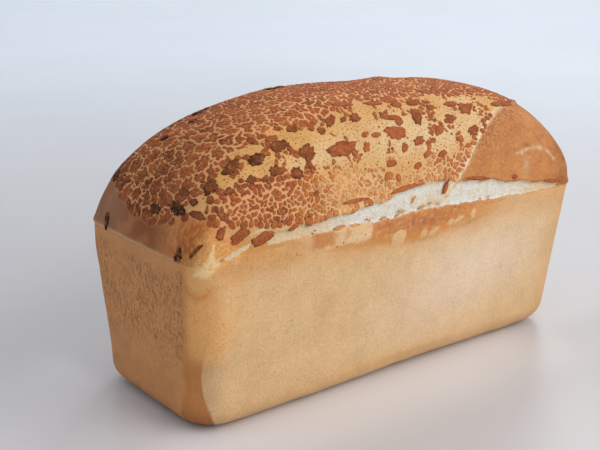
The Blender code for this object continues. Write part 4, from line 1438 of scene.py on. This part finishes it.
def wall_rise(points):
    """Fine relief of the walls."""
    x, y, height = points.T
    drop = RIM_HEIGHT - height
    near = (x < -0.1) & (y < 0)
    inside = strip_inside(points)
    sunk = ramp(-0.0008, 0.0008, inside) * fade(0.045, 0.062, height)
    crease = bell(inside, 0.0009) * fade(0.040, 0.055, height)
    rise = noise_sum(points, WALL_GRAIN) + np.where(near, -0.00035 * sunk + 0.00018 * crease, 0.0)
    fold = bell(from_near_corner(points) + 0.0126 - panel_edge(points), 0.0012)
    rise = rise - np.where(near, 0.00055 * fold * ramp(0.030, 0.042, height), 0.0)
    front = y < FRONT_FACE
    core = ramp(-0.060, -0.040, x) * fade(0.046, 0.060, x)
    paste = fade(0.006, 0.0095, drop + 0.001 * noise_at(points, 0.004, 79))
    rise = rise + np.where(front, 0.00030 * core * paste * ramp(0.0, 0.0015, drop), 0.0)
    rise = rise + BLISTER_RISE * np.sqrt(blister_shape(points))
    rise = rise + np.where(front, 0.00012, 0.0) * core * paste * noise_at(points, 0.0022, 119)
    rise = rise * ramp(0.0, 0.005, height)
    foot = bell(height - 0.007, 0.007)
    foot = foot * fade(-LENGTH / 2 + 0.010, -LENGTH / 2 + 0.030, x)
    return rise + END_FOOT_RISE * foot * ramp(0.0, 0.003, height)


def shape_skin(mesh):
    """Give the sheet the form of the loaf. The result is x, s, crown and points, before the relief."""
    x, s, plan_x, plan_y, height, crown = skin_places(mesh)
    points = wall_points(plan_x, plan_y, height)
    points[crown] = crown_point(x[crown], s[crown])
    points = ease_corners(mesh, points, crown)
    write_points(mesh, points)
    laid, away = lay_on_crown(points)
    write_values(mesh, "eased", np.where(crown, ((points - laid) * away).sum(axis=1), 0.0))
    return x, s, crown, points


def roughen_skin(mesh, x, s, crown, points):
    """Add the relief of the crown, the torn dough and the walls."""
    out = read_vectors(mesh, "normal")
    over = points[crown, 2] - RIM_HEIGHT
    inside = np.full(len(points), NOT_TORN)
    inside[crown] = torn_inside(x[crown], s[crown])
    write_values(mesh, "torn", inside / MM)
    rise = np.zeros(len(points))
    rise[crown] = skin_rise(x[crown], s[crown], over)
    torn = ramp(-0.0003, 0.0010, inside)
    rise -= BURST_DEPTH * np.clip(0.35 + (x + 0.110) / 0.060, 0.35, 1.0) * torn
    rise += noise_sum(points, TORN_GRAIN) * torn
    rise[crown] += 0.00010 * noise_at(points[crown], 0.0032, 87) * ramp(0, 0.004, over)
    rise[~crown] = wall_rise(points[~crown])
    write_points(mesh, points + out * rise[:, None])


def colour_skin(mesh, x, s, crown, points, settings):
    """Store the broad colours of the skin and its freckles, grains, pits, pores and creamy dough."""
    over = points[:, 2] - RIM_HEIGHT
    tones = np.zeros((len(points), 3))
    freckles, grains, pits, pores = (np.zeros(len(points)) for _ in range(4))
    place = (x[crown], s[crown], over[crown])
    tones[crown], freckles[crown], grains[crown] = crown_tones(*place, settings)
    tones[~crown], pits[~crown], pores[~crown] = wall_tones(points[~crown], settings)
    pores[crown] = 0.25
    strip = crown & (points[:, 1] < 0) & (over < 0.012) & (x < 0.135)
    wall, _, _ = wall_tones(points[strip], settings)
    share = below_burst(x[strip], s[strip])[:, None]
    tones[strip] = tones[strip] * (1 - share) + wall * share
    corner = (x < -0.12) & (points[:, 1] < 0)
    tones[corner] = corner_tones(tones[corner], points[corner], settings)
    write_colours(mesh, tones)
    cream = ramp(0.070, 0.112, x) + ramp(-0.040, -0.080, x) + spots_at(x, s, CREAM_TORN)
    write_values(mesh, "cream", np.clip(cream, 0, 1))
    for name, values in (("freckles", freckles), ("grains", grains), ("pits", pits), ("pores", pores)):
        write_values(mesh, name, values)


class TIGERBREAD_OT_skin(bpy.types.Operator):
    """Make the baked skin of the whole loaf"""
    bl_idname = "tigerbread.skin"
    bl_label = "Baked Skin"

    def execute(self, context):
        settings = context.scene.tiger_skin
        mesh = skin_sheet()
        places = shape_skin(mesh)
        roughen_skin(mesh, *places)
        colour_skin(mesh, *places, settings)
        skin = finish_piece(mesh, "baked_skin", skin_material(settings))
        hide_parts("loaf")
        return {"FINISHED"}


# Paste


def paste_tones(bake, settings):
    """Colours of paste by how far it baked."""
    stops = np.array([settings.pale, settings.amber, settings.red, settings.brown, settings.burnt])
    return np.column_stack([np.interp(bake, BAKE_STEPS, stops[:, k]) for k in range(3)])


def draw_seeds(spacing_of, keep, count, widest, seed):
    """Places on the crown, no two of them closer than the spacing there."""
    rng = np.random.default_rng(seed)
    x = np.interp(rng.uniform(0, RIDGE_ARC[-1], count), RIDGE_ARC, ALONG)
    s = rng.uniform(0, ARC[-1], count)
    points = crown_point(x, s)
    allowed = keep(x, s, points[:, 2] - RIM_HEIGHT)
    spacing = spacing_of(x, s) * rng.uniform(*SPACING_SPREAD, count)
    boxes = {}
    cells = np.floor(points / widest).astype(int).tolist()
    around = [(i, j, k) for i in (-1, 0, 1) for j in (-1, 0, 1) for k in (-1, 0, 1)]
    chosen = []
    spots = points.tolist()
    reach = spacing.tolist()
    for n in np.flatnonzero(allowed).tolist():
        i, j, k = cells[n]
        px, py, pz = spots[n]
        near = (m for a, b, c in around for m in boxes.get((i + a, j + b, k + c), ()))
        if any((spots[m][0] - px) ** 2 + (spots[m][1] - py) ** 2 + (spots[m][2] - pz) ** 2
               < ((reach[m] + reach[n]) / 2) ** 2 for m in near):
            continue
        boxes.setdefault((i, j, k), []).append(n)
        chosen.append(n)
    return points[chosen]


def cut_outline(corners, away_x, away_y, reach):
    """Keep the part of a polygon that lies within reach along a direction."""
    kept = []
    for k, (x, y) in enumerate(corners):
        last_x, last_y = corners[k - 1]
        here = x * away_x + y * away_y - reach
        before = last_x * away_x + last_y * away_y - reach
        if (here > 0) != (before > 0):
            t = before / (before - here)
            kept.append((last_x + t * (x - last_x), last_y + t * (y - last_y)))
        if here <= 0:
            kept.append((x, y))
    return kept


def even_outline(corners, step):
    """Points at about even steps round a polygon, with its corners a little rounded."""
    points = []
    for k, (x, y) in enumerate(corners):
        last_x, last_y = corners[k - 1]
        parts = max(1, round(math.hypot(x - last_x, y - last_y) / step))
        for part in range(parts):
            t = part / parts
            points.append((last_x + t * (x - last_x), last_y + t * (y - last_y)))
    count = len(points)
    return [(0.22 * points[k - 1][0] + 0.56 * points[k][0] + 0.22 * points[(k + 1) % count][0],
             0.22 * points[k - 1][1] + 0.56 * points[k][1] + 0.22 * points[(k + 1) % count][1])
            for k in range(count)]


def nearest(places, points):
    """Number of the place that is nearest to each point."""
    tree = kdtree.KDTree(len(places))
    for n, place in enumerate(places.tolist()):
        tree.insert(place, n)
    tree.balance()
    return np.array([tree.find(point)[1] for point in points.tolist()])


def cut_cell(corners, offsets, widths, forward, up):
    """Cut a cell back to halfway to each neighbour, less half the width of the vein between them."""
    for offset, width in zip(offsets, widths):
        along_x, along_y = float(offset @ forward), float(offset @ up)
        length = math.hypot(along_x, along_y)
        corners = cut_outline(corners, along_x / length, along_y / length, (length - width) / 2)
        if len(corners) < 3:
            return []
    return corners


def crackle_outlines(seeds, groups, settings):
    """One flat outline round each seed, parted by veins from other groups and by cracks inside one."""
    seeds, out = lay_on_crown(seeds)
    x, s, _ = crown_place(seeds)
    size, _, vein, cracked, bake = plate_fields(x, s)
    band = band_share(x, s)
    sunk = 1 - 0.60 * fade(*LOW_PLATES, s) * ramp(-0.070, -0.035, x)
    member = nearest(groups, wander(seeds, 0.0014, 0.0040, SEED + 9)).tolist()
    forward, up = tangent_frame(out)
    tree = kdtree.KDTree(len(seeds))
    for n, seed in enumerate(seeds):
        tree.insert(seed, n)
    tree.balance()
    rng = random.Random(SEED)
    group_draws = [(rng.random(), rng.uniform(-1, 1)) for _ in groups]
    scale = settings.plate_size / PLATE_SIZE
    widen = settings.vein_width / VEIN_WIDTH

    def width_between(n, other):
        draw = pair_draw(n, other)
        if member[n] != member[other]:
            return (vein[n] + vein[other]) / 2 * widen * (0.5 + draw)
        return CRACK_WIDTH * (0.5 + (1 - draw)) if 1 - draw < cracked[n] else -CRACK_OVERLAP

    outlines = []
    for n in range(len(seeds)):
        cell = size[n] * scale
        turn, thick, shade = rng.uniform(0, math.pi), rng.uniform(0.70, 1.25), rng.uniform(-1, 1)
        lost, group_shade = group_draws[member[n]]
        if lost < BAND_LOSS * band[n]:
            continue
        widest = cell * 1.05
        turns = [turn + math.pi * k / 5 for k in range(10)]
        corners = [(widest * math.cos(a), widest * math.sin(a)) for a in turns]
        others = [other for _, other, _ in tree.find_range(seeds[n], 2.4 * cell) if other != n]
        widths = [width_between(n, other) for other in others]
        corners = cut_cell(corners, seeds[others] - seeds[n], widths, forward[n], up[n])
        if not corners:
            continue
        flat = np.array(even_outline(corners, OUTLINE_STEP))
        after = np.roll(flat, -1, axis=0)
        area = abs(np.sum(flat[:, 0] * after[:, 1] - flat[:, 1] * after[:, 0])) / 2
        if area < LEAST_AREA:
            continue
        points = seeds[n] + flat[:, :1] * forward[n] + flat[:, 1:] * up[n]
        outlines.append((points, bake[n] + 0.09 * group_shade + 0.07 * shade, thick * sunk[n]))
    return outlines


def wander(points, amount, size, shift):
    """Move points by a smooth field, so that facing edges keep their distance."""
    noise.seed_set(SEED)      # the clock would shift noise_vector otherwise
    moved = [noise.noise_vector(spot) for spot in (points / size + shift).tolist()]
    return points + amount * np.array([tuple(v) for v in moved])


def slab_mesh(name, lengths, points, rise, bevel):
    """Closed slabs with rounded edges, from outlines that follow one another in the points."""
    bm = bmesh.new()
    start = 0
    tops = []
    for length in lengths:
        verts = [bm.verts.new(point) for point in points[start:start + length].tolist()]
        tops.append(bm.faces.new(verts))
        start += length
    bm.normal_update()
    for top in tops:
        middle = top.calc_center_median()
        if top.normal.dot(middle - Vector((middle.x * 0.7, 0.0, RIM_HEIGHT - 0.02))) < 0:
            top.normal_flip()
    rims = [e for e in bm.edges if e.is_boundary]
    bmesh.ops.inset_individual(bm, faces=tops, thickness=bevel * 0.3, depth=rise * 0.72)
    bmesh.ops.inset_individual(bm, faces=tops, thickness=bevel, depth=rise * 0.28)
    bmesh.ops.holes_fill(bm, edges=rims, sides=0)
    bmesh.ops.poke(bm, faces=tops, offset=rise * 0.10)
    return mesh_of(bm, name)


def raise_slabs(name, outlines, rise, settings, rag, bevel=SLAB_BEVEL):
    """Lay slabs on the crown, one for each outline with its bake and its share of the rise."""
    lengths = [len(points) for points, _, _ in outlines]
    points = np.concatenate([points for points, _, _ in outlines])
    points = wander(points, rag, 0.0022, SEED)
    points = wander(points, rag * 0.5, 0.0009, SEED + 5)
    points, _ = lay_on_crown(points)
    mesh = slab_mesh(name, lengths, points, rise, bevel)
    made = read_vectors(mesh, "co")
    laid, out = lay_on_crown(made)
    over = ((made - laid) * out).sum(axis=1)
    x, s, height = crown_place(laid)
    middles = [part.mean(axis=0) for part in np.split(points, np.cumsum(lengths)[:-1])]
    owner = nearest(np.array(middles), laid)
    bakes = np.array([bake for _, bake, _ in outlines])[owner]
    heights = np.array([thick for _, _, thick in outlines])[owner]
    share = np.clip(over / rise, 0.0, 1.2)
    bumps = 1 + 0.30 * noise_at(laid, 0.0016, 91)
    lifted = np.where(share > 0.05, share * rise * heights * bumps, SLAB_FOOT)
    lifted = lifted + skin_rise(x, s, height) + eased_rise(laid)
    write_points(mesh, laid + out * lifted[:, None])
    ring = 0.04 + 0.07 * fade(0.030, 0.040, s) * ramp(-0.062, -0.030, x)
    bakes = bakes + 0.10 * noise_at(laid, 0.0030, 95) + ring * (share < 1.04)
    write_colours(mesh, paste_tones(bakes, settings))
    return finish_piece(mesh, name, crisp_paste(settings), sharp=60)


def eased_rise(points):
    """How far the easing of its corners moved the skin outwards under points of the crown."""
    mesh = bpy.data.objects["baked_skin"].data
    moved = np.empty(len(mesh.vertices))
    mesh.attributes["eased"].data.foreach_get("value", moved)
    spots = read_vectors(mesh, "co")
    tree = kdtree.KDTree(len(moved))
    for n in np.flatnonzero(spots[:, 2] > RIM_HEIGHT).tolist():
        tree.insert(spots[n], n)
    tree.balance()
    rises = np.zeros(len(points))
    low = (points[:, 2] < RIM_HEIGHT + 0.035) & (np.abs(points[:, 0]) > LENGTH / 2 - 0.040)
    for n in np.flatnonzero(low).tolist():
        found = [(1 / (gap + 1e-5), moved[k]) for _, k, gap in tree.find_n(points[n], 4)]
        rises[n] = sum(share * rise for share, rise in found) / sum(share for share, _ in found)
    return rises


def near_islands(points):
    """Whether points lie on or right beside a large plate."""
    places = np.array([place[:2] for place in ISLANDS])
    middles, out = lay_on_crown(crown_point(places[:, 0], places[:, 1]))
    forward, up = tangent_frame(out)
    beside = np.zeros(len(points), bool)
    for n, (_, _, length, width, turn, _) in enumerate(ISLANDS):
        offset = points - middles[n]
        u, v = offset @ forward[n], offset @ up[n]
        a = math.radians(turn)
        long_way = (u * math.cos(a) + v * math.sin(a)) / (length / 2 + 0.0012)
        short_way = (v * math.cos(a) - u * math.sin(a)) / (width / 2 + 0.0012)
        beside |= (long_way**2 + short_way**2 < 1) & (np.abs(offset @ out[n]) < 0.006)
    return beside


class TIGERBREAD_OT_crackle(bpy.types.Operator):
    """Make the thousands of small plates of the crackle"""
    bl_idname = "tigerbread.crackle"
    bl_label = "Crackle"

    def execute(self, context):
        settings = context.scene.tiger_paste
        scale = settings.plate_size / PLATE_SIZE
        seeds = draw_seeds(lambda x, s: PLATE_PACKING * scale * plate_fields(x, s)[0],
                           lambda x, s, height: paste_cover(x, s, height) > 0,
                           PLATE_TRIES, WIDEST_PLATE * scale, SEED)
        groups = draw_seeds(lambda x, s: plate_fields(x, s)[1],
                            lambda x, s, height: height > 0, GROUP_TRIES, WIDEST_GROUP, SEED + 4)
        outlines = crackle_outlines(seeds[~near_islands(seeds)], groups, settings)
        across = [crown_place(points.mean(axis=0)[None])[1][0] for points, _, _ in outlines]
        for name, low, high in zip(CRACKLE_NAMES, CRACKLE_CUTS, CRACKLE_CUTS[1:]):
            part = [outline for outline, s in zip(outlines, across) if low <= s < high]
            if not part:
                raise RuntimeError(f"{name} has no plates")
            raise_slabs(name, part, settings.plate_rise, settings, settings.rag)
        return {"FINISHED"}


def ragged_radius(angle, shape_seed, slimness):
    """How far a large plate reaches at each angle, as a share of its usual reach."""
    ring = np.column_stack([np.cos(angle), np.sin(angle), np.full_like(angle, 0.37 * shape_seed)])
    return (0.90 + 0.28 * noise_at(ring, 0.80) + 0.30 * slimness * noise_at(ring, 0.33, 7)
            + 0.24 * slimness**2 * noise_at(ring, 0.15, 13))


def island_disc(length):
    """Unit disc with a wall, rounded rim and rings, for one large plate."""
    sides = 44 if length > 0.012 else 30 if length > 0.006 else 20
    rings = 6 if length > 0.012 else 4
    bm = bmesh.new()
    bmesh.ops.create_cone(bm, cap_ends=True, segments=sides, radius1=1.0, radius2=1.0, depth=1.0)
    top = [f for f in bm.faces if all(v.co.z > 0.4 for v in f.verts)]
    bmesh.ops.inset_individual(bm, faces=top, thickness=0.07)
    for _ in range(rings - 1):
        bmesh.ops.inset_individual(bm, faces=top, thickness=0.93 / rings)
    bmesh.ops.poke(bm, faces=top)
    return bm


def lay_island(spots, number, settings):
    """Lay the points of a disc on the crown as a large plate: places, moves, directions and bakes."""
    x, s, length, width, turn, bake = ISLANDS[number]
    angle = np.arctan2(spots[:, 1], spots[:, 0])
    reach = np.hypot(spots[:, 0], spots[:, 1])
    radius = ragged_radius(angle, number, min(1.0, 1.60 * width / length))
    u = reach * radius * np.cos(angle) * length / 2
    v = reach * radius * np.sin(angle) * width / 2
    a = math.radians(turn)
    middle, out = lay_on_crown(crown_point(np.array([x]), np.array([s])))
    forward, up = tangent_frame(out)
    laid, out = lay_on_crown(middle + forward * (u * math.cos(a) - v * math.sin(a))[:, None]
                             + up * (u * math.sin(a) + v * math.cos(a))[:, None])
    thick = settings.island_rise * (1.6 if bake > 0.80 else 0.4 if bake < 0.25 else 1.0)
    profile = np.interp(reach, [0.0, 0.80, 0.93, 1.0], [1.0, 1.05, 1.0, 0.55])
    bumps = 1 + noise_sum(laid, ISLAND_BUMPS)
    lifted = np.where(spots[:, 2] > 0, thick * profile * bumps, SLAB_FOOT)
    lifted = lifted + skin_rise(*crown_place(laid))
    edge = np.clip((reach - 0.60) / 0.40, 0, 1)
    shade = (0.04 if x < -0.06 else -0.02) + 0.10 * edge + 0.16 * noise_at(laid, 0.0030, 107)
    return laid, out * lifted[:, None], out, bake + shade


class TIGERBREAD_OT_islands(bpy.types.Operator):
    """Make the large plates that the stretched dough carried apart"""
    bl_idname = "tigerbread.islands"
    bl_label = "Large Plates"

    def execute(self, context):
        settings = context.scene.tiger_paste
        whole = bmesh.new()
        parts = []
        for number, (_, _, length, _, _, _) in enumerate(ISLANDS):
            bm = island_disc(length)
            parts.append(lay_island(np.array([v.co[:] for v in bm.verts]), number, settings))
            piece = bpy.data.meshes.new("one_plate")
            bm.to_mesh(piece)
            whole.from_mesh(piece)
            bpy.data.meshes.remove(piece)
            bm.free()
        mesh = mesh_of(whole, "paste_islands")
        bases, moves, outs, bakes = (np.concatenate(arrays) for arrays in zip(*parts))
        write_points(mesh, bases + moves + outs * eased_rise(bases)[:, None])
        write_colours(mesh, paste_tones(bakes, settings))
        finish_piece(mesh, "paste_islands", crisp_paste(settings), sharp=60)
        return {"FINISHED"}


class TIGERBREAD_OT_grains(bpy.types.Operator):
    """Make the loose grains of paste on the stretched band"""
    bl_idname = "tigerbread.grains"
    bl_label = "Grains"

    def execute(self, context):
        settings = context.scene.tiger_paste

        def keep(x, s, height):
            open_skin = (band_share(x, s) > 0.3) & (past_fold(x, s) < 0)
            foot, _ = burst_edges(x)
            torn_edge = (np.abs(s - foot) < 0.0020) & (x > -0.075) & (x < 0.060)
            torn_edge &= noise_at(flat_points(x, s), 0.0060, 35) > 0.22
            return (open_skin | torn_edge) & (height > MM)

        seeds = draw_seeds(lambda x, s: np.full_like(x, GRAIN_SPACING), keep,
                           GRAIN_TRIES, WIDEST_GRAIN, SEED + 1)
        seeds = seeds[~near_islands(seeds)][:settings.grain_count]
        seeds, out = lay_on_crown(seeds)
        forward, up = tangent_frame(out)
        x, s, _ = crown_place(seeds)
        rng = random.Random(SEED + 2)
        outlines = []
        for n in range(len(seeds)):
            sides = rng.choice((6, 7, 8))
            wide = rng.uniform(0.20, 0.48) * MM * (1.6 if rng.random() < 0.12 else 1.0)
            turn = rng.uniform(0, math.pi)
            slim = rng.uniform(0.45, 1.0)
            angle = turn + 2 * math.pi * np.arange(sides) / sides
            reach = wide * np.array([rng.uniform(0.75, 1.25) for _ in range(sides)])
            u, v = reach * np.cos(angle), reach * np.sin(angle) * slim
            points = seeds[n] + u[:, None] * forward[n] + v[:, None] * up[n]
            bake = rng.uniform(0.30, 0.68) - 0.10 * (x[n] > 0.0) - 0.15 * (s[n] < 0.02)
            outlines.append((points, bake, rng.uniform(0.7, 1.3)))
        raise_slabs("paste_grains", outlines, GRAIN_RISE, settings, GRAIN_RAG, GRAIN_BEVEL)
        return {"FINISHED"}


class TIGERBREAD_OT_bubbles(bpy.types.Operator):
    """Make the small bubbles of paste under the torn strip"""
    bl_idname = "tigerbread.bubbles"
    bl_label = "Bubbles"

    def execute(self, context):
        settings = context.scene.tiger_skin
        rng = random.Random(SEED + 3)
        bm = bmesh.new()
        shares = []
        for number in range(BUBBLE_COUNT):
            x = rng.choice((rng.uniform(-0.030, 0.046), rng.uniform(-0.086, -0.034)))
            drop = rng.uniform(0.0012, 0.0095) if x > -0.031 else rng.uniform(0.0008, 0.0050)
            wide = rng.uniform(0.0006, 0.0017)
            made = bmesh.ops.create_uvsphere(bm, u_segments=12, v_segments=6, radius=1.0)["verts"]
            spots = np.array([v.co[:] for v in made])
            bulge = 1 + 0.20 * noise_at(spots, 0.9, number)
            rim = (np.array([x]), np.array([-WIDTH / 2]))
            middle = wall_points(*rim, np.array([RIM_HEIGHT - drop]))[0]
            size = np.array([wide / 2, wide * 0.26, wide * rng.uniform(0.4, 0.65)])
            for vert, co in zip(made, (middle + spots * bulge[:, None] * size).tolist()):
                vert.co = co
            shares.append(np.clip(-1.6 * spots[:, 1], 0, 1) * rng.uniform(0.3, 1.0))
        mesh = mesh_of(bm, "paste_bubbles")
        tones = np.tile(np.array(settings.glaze), (len(mesh.vertices), 1))
        write_colours(mesh, blend(tones, np.concatenate(shares), settings.bubble))
        for name, value in (("torn", NOT_TORN / MM), ("freckles", 0.0), ("grains", 0.0),
                            ("pits", 0.0), ("pores", 0.2)):
            write_values(mesh, name, np.full(len(mesh.vertices), value))
        material = bpy.data.materials.get("baked_skin") or skin_material(settings)
        finish_piece(mesh, "paste_bubbles", material)
        return {"FINISHED"}


# Studio


def floor_profile():
    """Half of the floor's section: flat, then curved up to a low backdrop."""
    flat, curve, wall = 1.6, 0.9, 1.3
    bend = [(flat + curve * math.sin(a), curve * (1 - math.cos(a)))
            for a in np.linspace(0, math.pi / 2, 14)]
    return [(0.0, 0.0), (0.4, 0.0), (1.0, 0.0), *bend, (flat + curve, wall)]


def soft_light(name, place, target, width, power, colour):
    """A large area light that the camera doesn't see."""
    data = bpy.data.lights.new(name, "AREA")
    data.shape = "DISK"
    data.size = width
    data.energy = power
    data.color = colour
    light = bpy.data.objects.new(name, data)
    light.location = place
    light.rotation_euler = (Vector(target) - Vector(place)).to_track_quat("-Z", "Y").to_euler()
    light.visible_camera = False
    bpy.context.scene.collection.objects.link(light)


class TIGERBREAD_OT_studio(bpy.types.Operator):
    """Make the floor, the lights and the camera"""
    bl_idname = "tigerbread.studio"
    bl_label = "Studio"

    def execute(self, context):
        settings = context.scene.tiger_studio
        bm = bmesh.new()
        line = [bm.verts.new((x, 0.0, z)) for x, z in floor_profile()]
        edges = [bm.edges.new(pair) for pair in zip(line, line[1:])]
        bmesh.ops.spin(bm, geom=line + edges, cent=(0, 0, 0), axis=(0, 0, 1), angle=2 * math.pi,
                       steps=96, use_merge=True)
        bmesh.ops.remove_doubles(bm, verts=bm.verts[:], dist=1e-5)
        mesh = mesh_of(bm, "studio_floor")
        if mesh.polygons[0].normal.z < 0:
            mesh.flip_normals()
        mesh.materials.append(floor_material(settings))
        mesh.shade_smooth()
        floor = bpy.data.objects.new("studio_floor", mesh)
        context.scene.collection.objects.link(floor)

        soft_light("key_light", (0.65, -1.15, 0.90), (0.0, 0.0, 0.08), 1.3, settings.key_power,
                   (1.0, 0.965, 0.925))
        soft_light("backdrop_light", (2.0, 1.6, 1.7), (1.25, 1.25, 0.0), 1.0, settings.back_power,
                   (1.0, 0.985, 0.96))
        world = context.scene.world or bpy.data.worlds.new("studio_sky")
        context.scene.world = world
        world.use_nodes = True
        sky = world.node_tree.nodes["Background"]
        sky.inputs["Color"].default_value = (*settings.sky, 1.0)
        sky.inputs["Strength"].default_value = settings.sky_strength
        context.scene.view_settings.view_transform = "Standard"
        place_camera(context)
        return {"FINISHED"}


def place_camera(context):
    """Camera that sees the loaf as its picture does."""
    turn, rise, roll = (math.radians(a) for a in (CAMERA_TURN, CAMERA_RISE, CAMERA_ROLL))
    back = Vector((math.sin(turn) * math.cos(rise), -math.cos(turn) * math.cos(rise), math.sin(rise)))
    right = Vector((0, 0, 1)).cross(back).normalized()
    up = back.cross(right)
    right, up = (right * math.cos(roll) + up * math.sin(roll),
                 up * math.cos(roll) - right * math.sin(roll))
    data = bpy.data.cameras.new("camera")
    data.lens = CAMERA_LENS
    data.sensor_width = 36.0
    data.clip_start = 0.02
    camera = bpy.data.objects.new("camera", data)
    place = Vector(CAMERA_AIM) + back * CAMERA_DISTANCE
    camera.matrix_world = Matrix.Translation(place) @ Matrix((right, up, back)).transposed().to_4x4()
    context.scene.collection.objects.link(camera)
    context.scene.camera = camera


class TIGERBREAD_PT_panel(bpy.types.Panel):
    """Buttons that make the loaf's pieces and the studio, and their settings"""
    bl_idname = "TIGERBREAD_PT_panel"
    bl_label = "Tiger Bread"
    bl_space_type = "VIEW_3D"
    bl_region_type = "UI"
    bl_category = "Tiger Bread"

    def draw(self, context):
        for operator in OPERATORS:
            self.layout.operator(operator.bl_idname)
        for group in (context.scene.tiger_skin, context.scene.tiger_paste, context.scene.tiger_studio):
            box = self.layout.box()
            for name in group.bl_rna.properties.keys():
                if name not in ("rna_type", "name"):
                    box.prop(group, name)


GROUPS = (SkinSettings, PasteSettings, StudioSettings)
OPERATORS = (TIGERBREAD_OT_skin, TIGERBREAD_OT_crackle, TIGERBREAD_OT_islands, TIGERBREAD_OT_grains,
             TIGERBREAD_OT_bubbles, TIGERBREAD_OT_studio)
CLASSES = (*GROUPS, *OPERATORS, TIGERBREAD_PT_panel)


def register():
    for item in CLASSES:
        bpy.utils.register_class(item)
    bpy.types.Scene.tiger_skin = PointerProperty(type=SkinSettings)
    bpy.types.Scene.tiger_paste = PointerProperty(type=PasteSettings)
    bpy.types.Scene.tiger_studio = PointerProperty(type=StudioSettings)


def unregister():
    del bpy.types.Scene.tiger_studio
    del bpy.types.Scene.tiger_paste
    del bpy.types.Scene.tiger_skin
    for item in reversed(CLASSES):
        bpy.utils.unregister_class(item)


def main():
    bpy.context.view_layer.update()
    register()
    bpy.ops.tigerbread.skin()
    bpy.ops.tigerbread.crackle()
    bpy.ops.tigerbread.islands()
    bpy.ops.tigerbread.grains()
    bpy.ops.tigerbread.bubbles()
    bpy.ops.tigerbread.studio()
    bpy.context.view_layer.update()


if __name__ == "__main__":
    main()
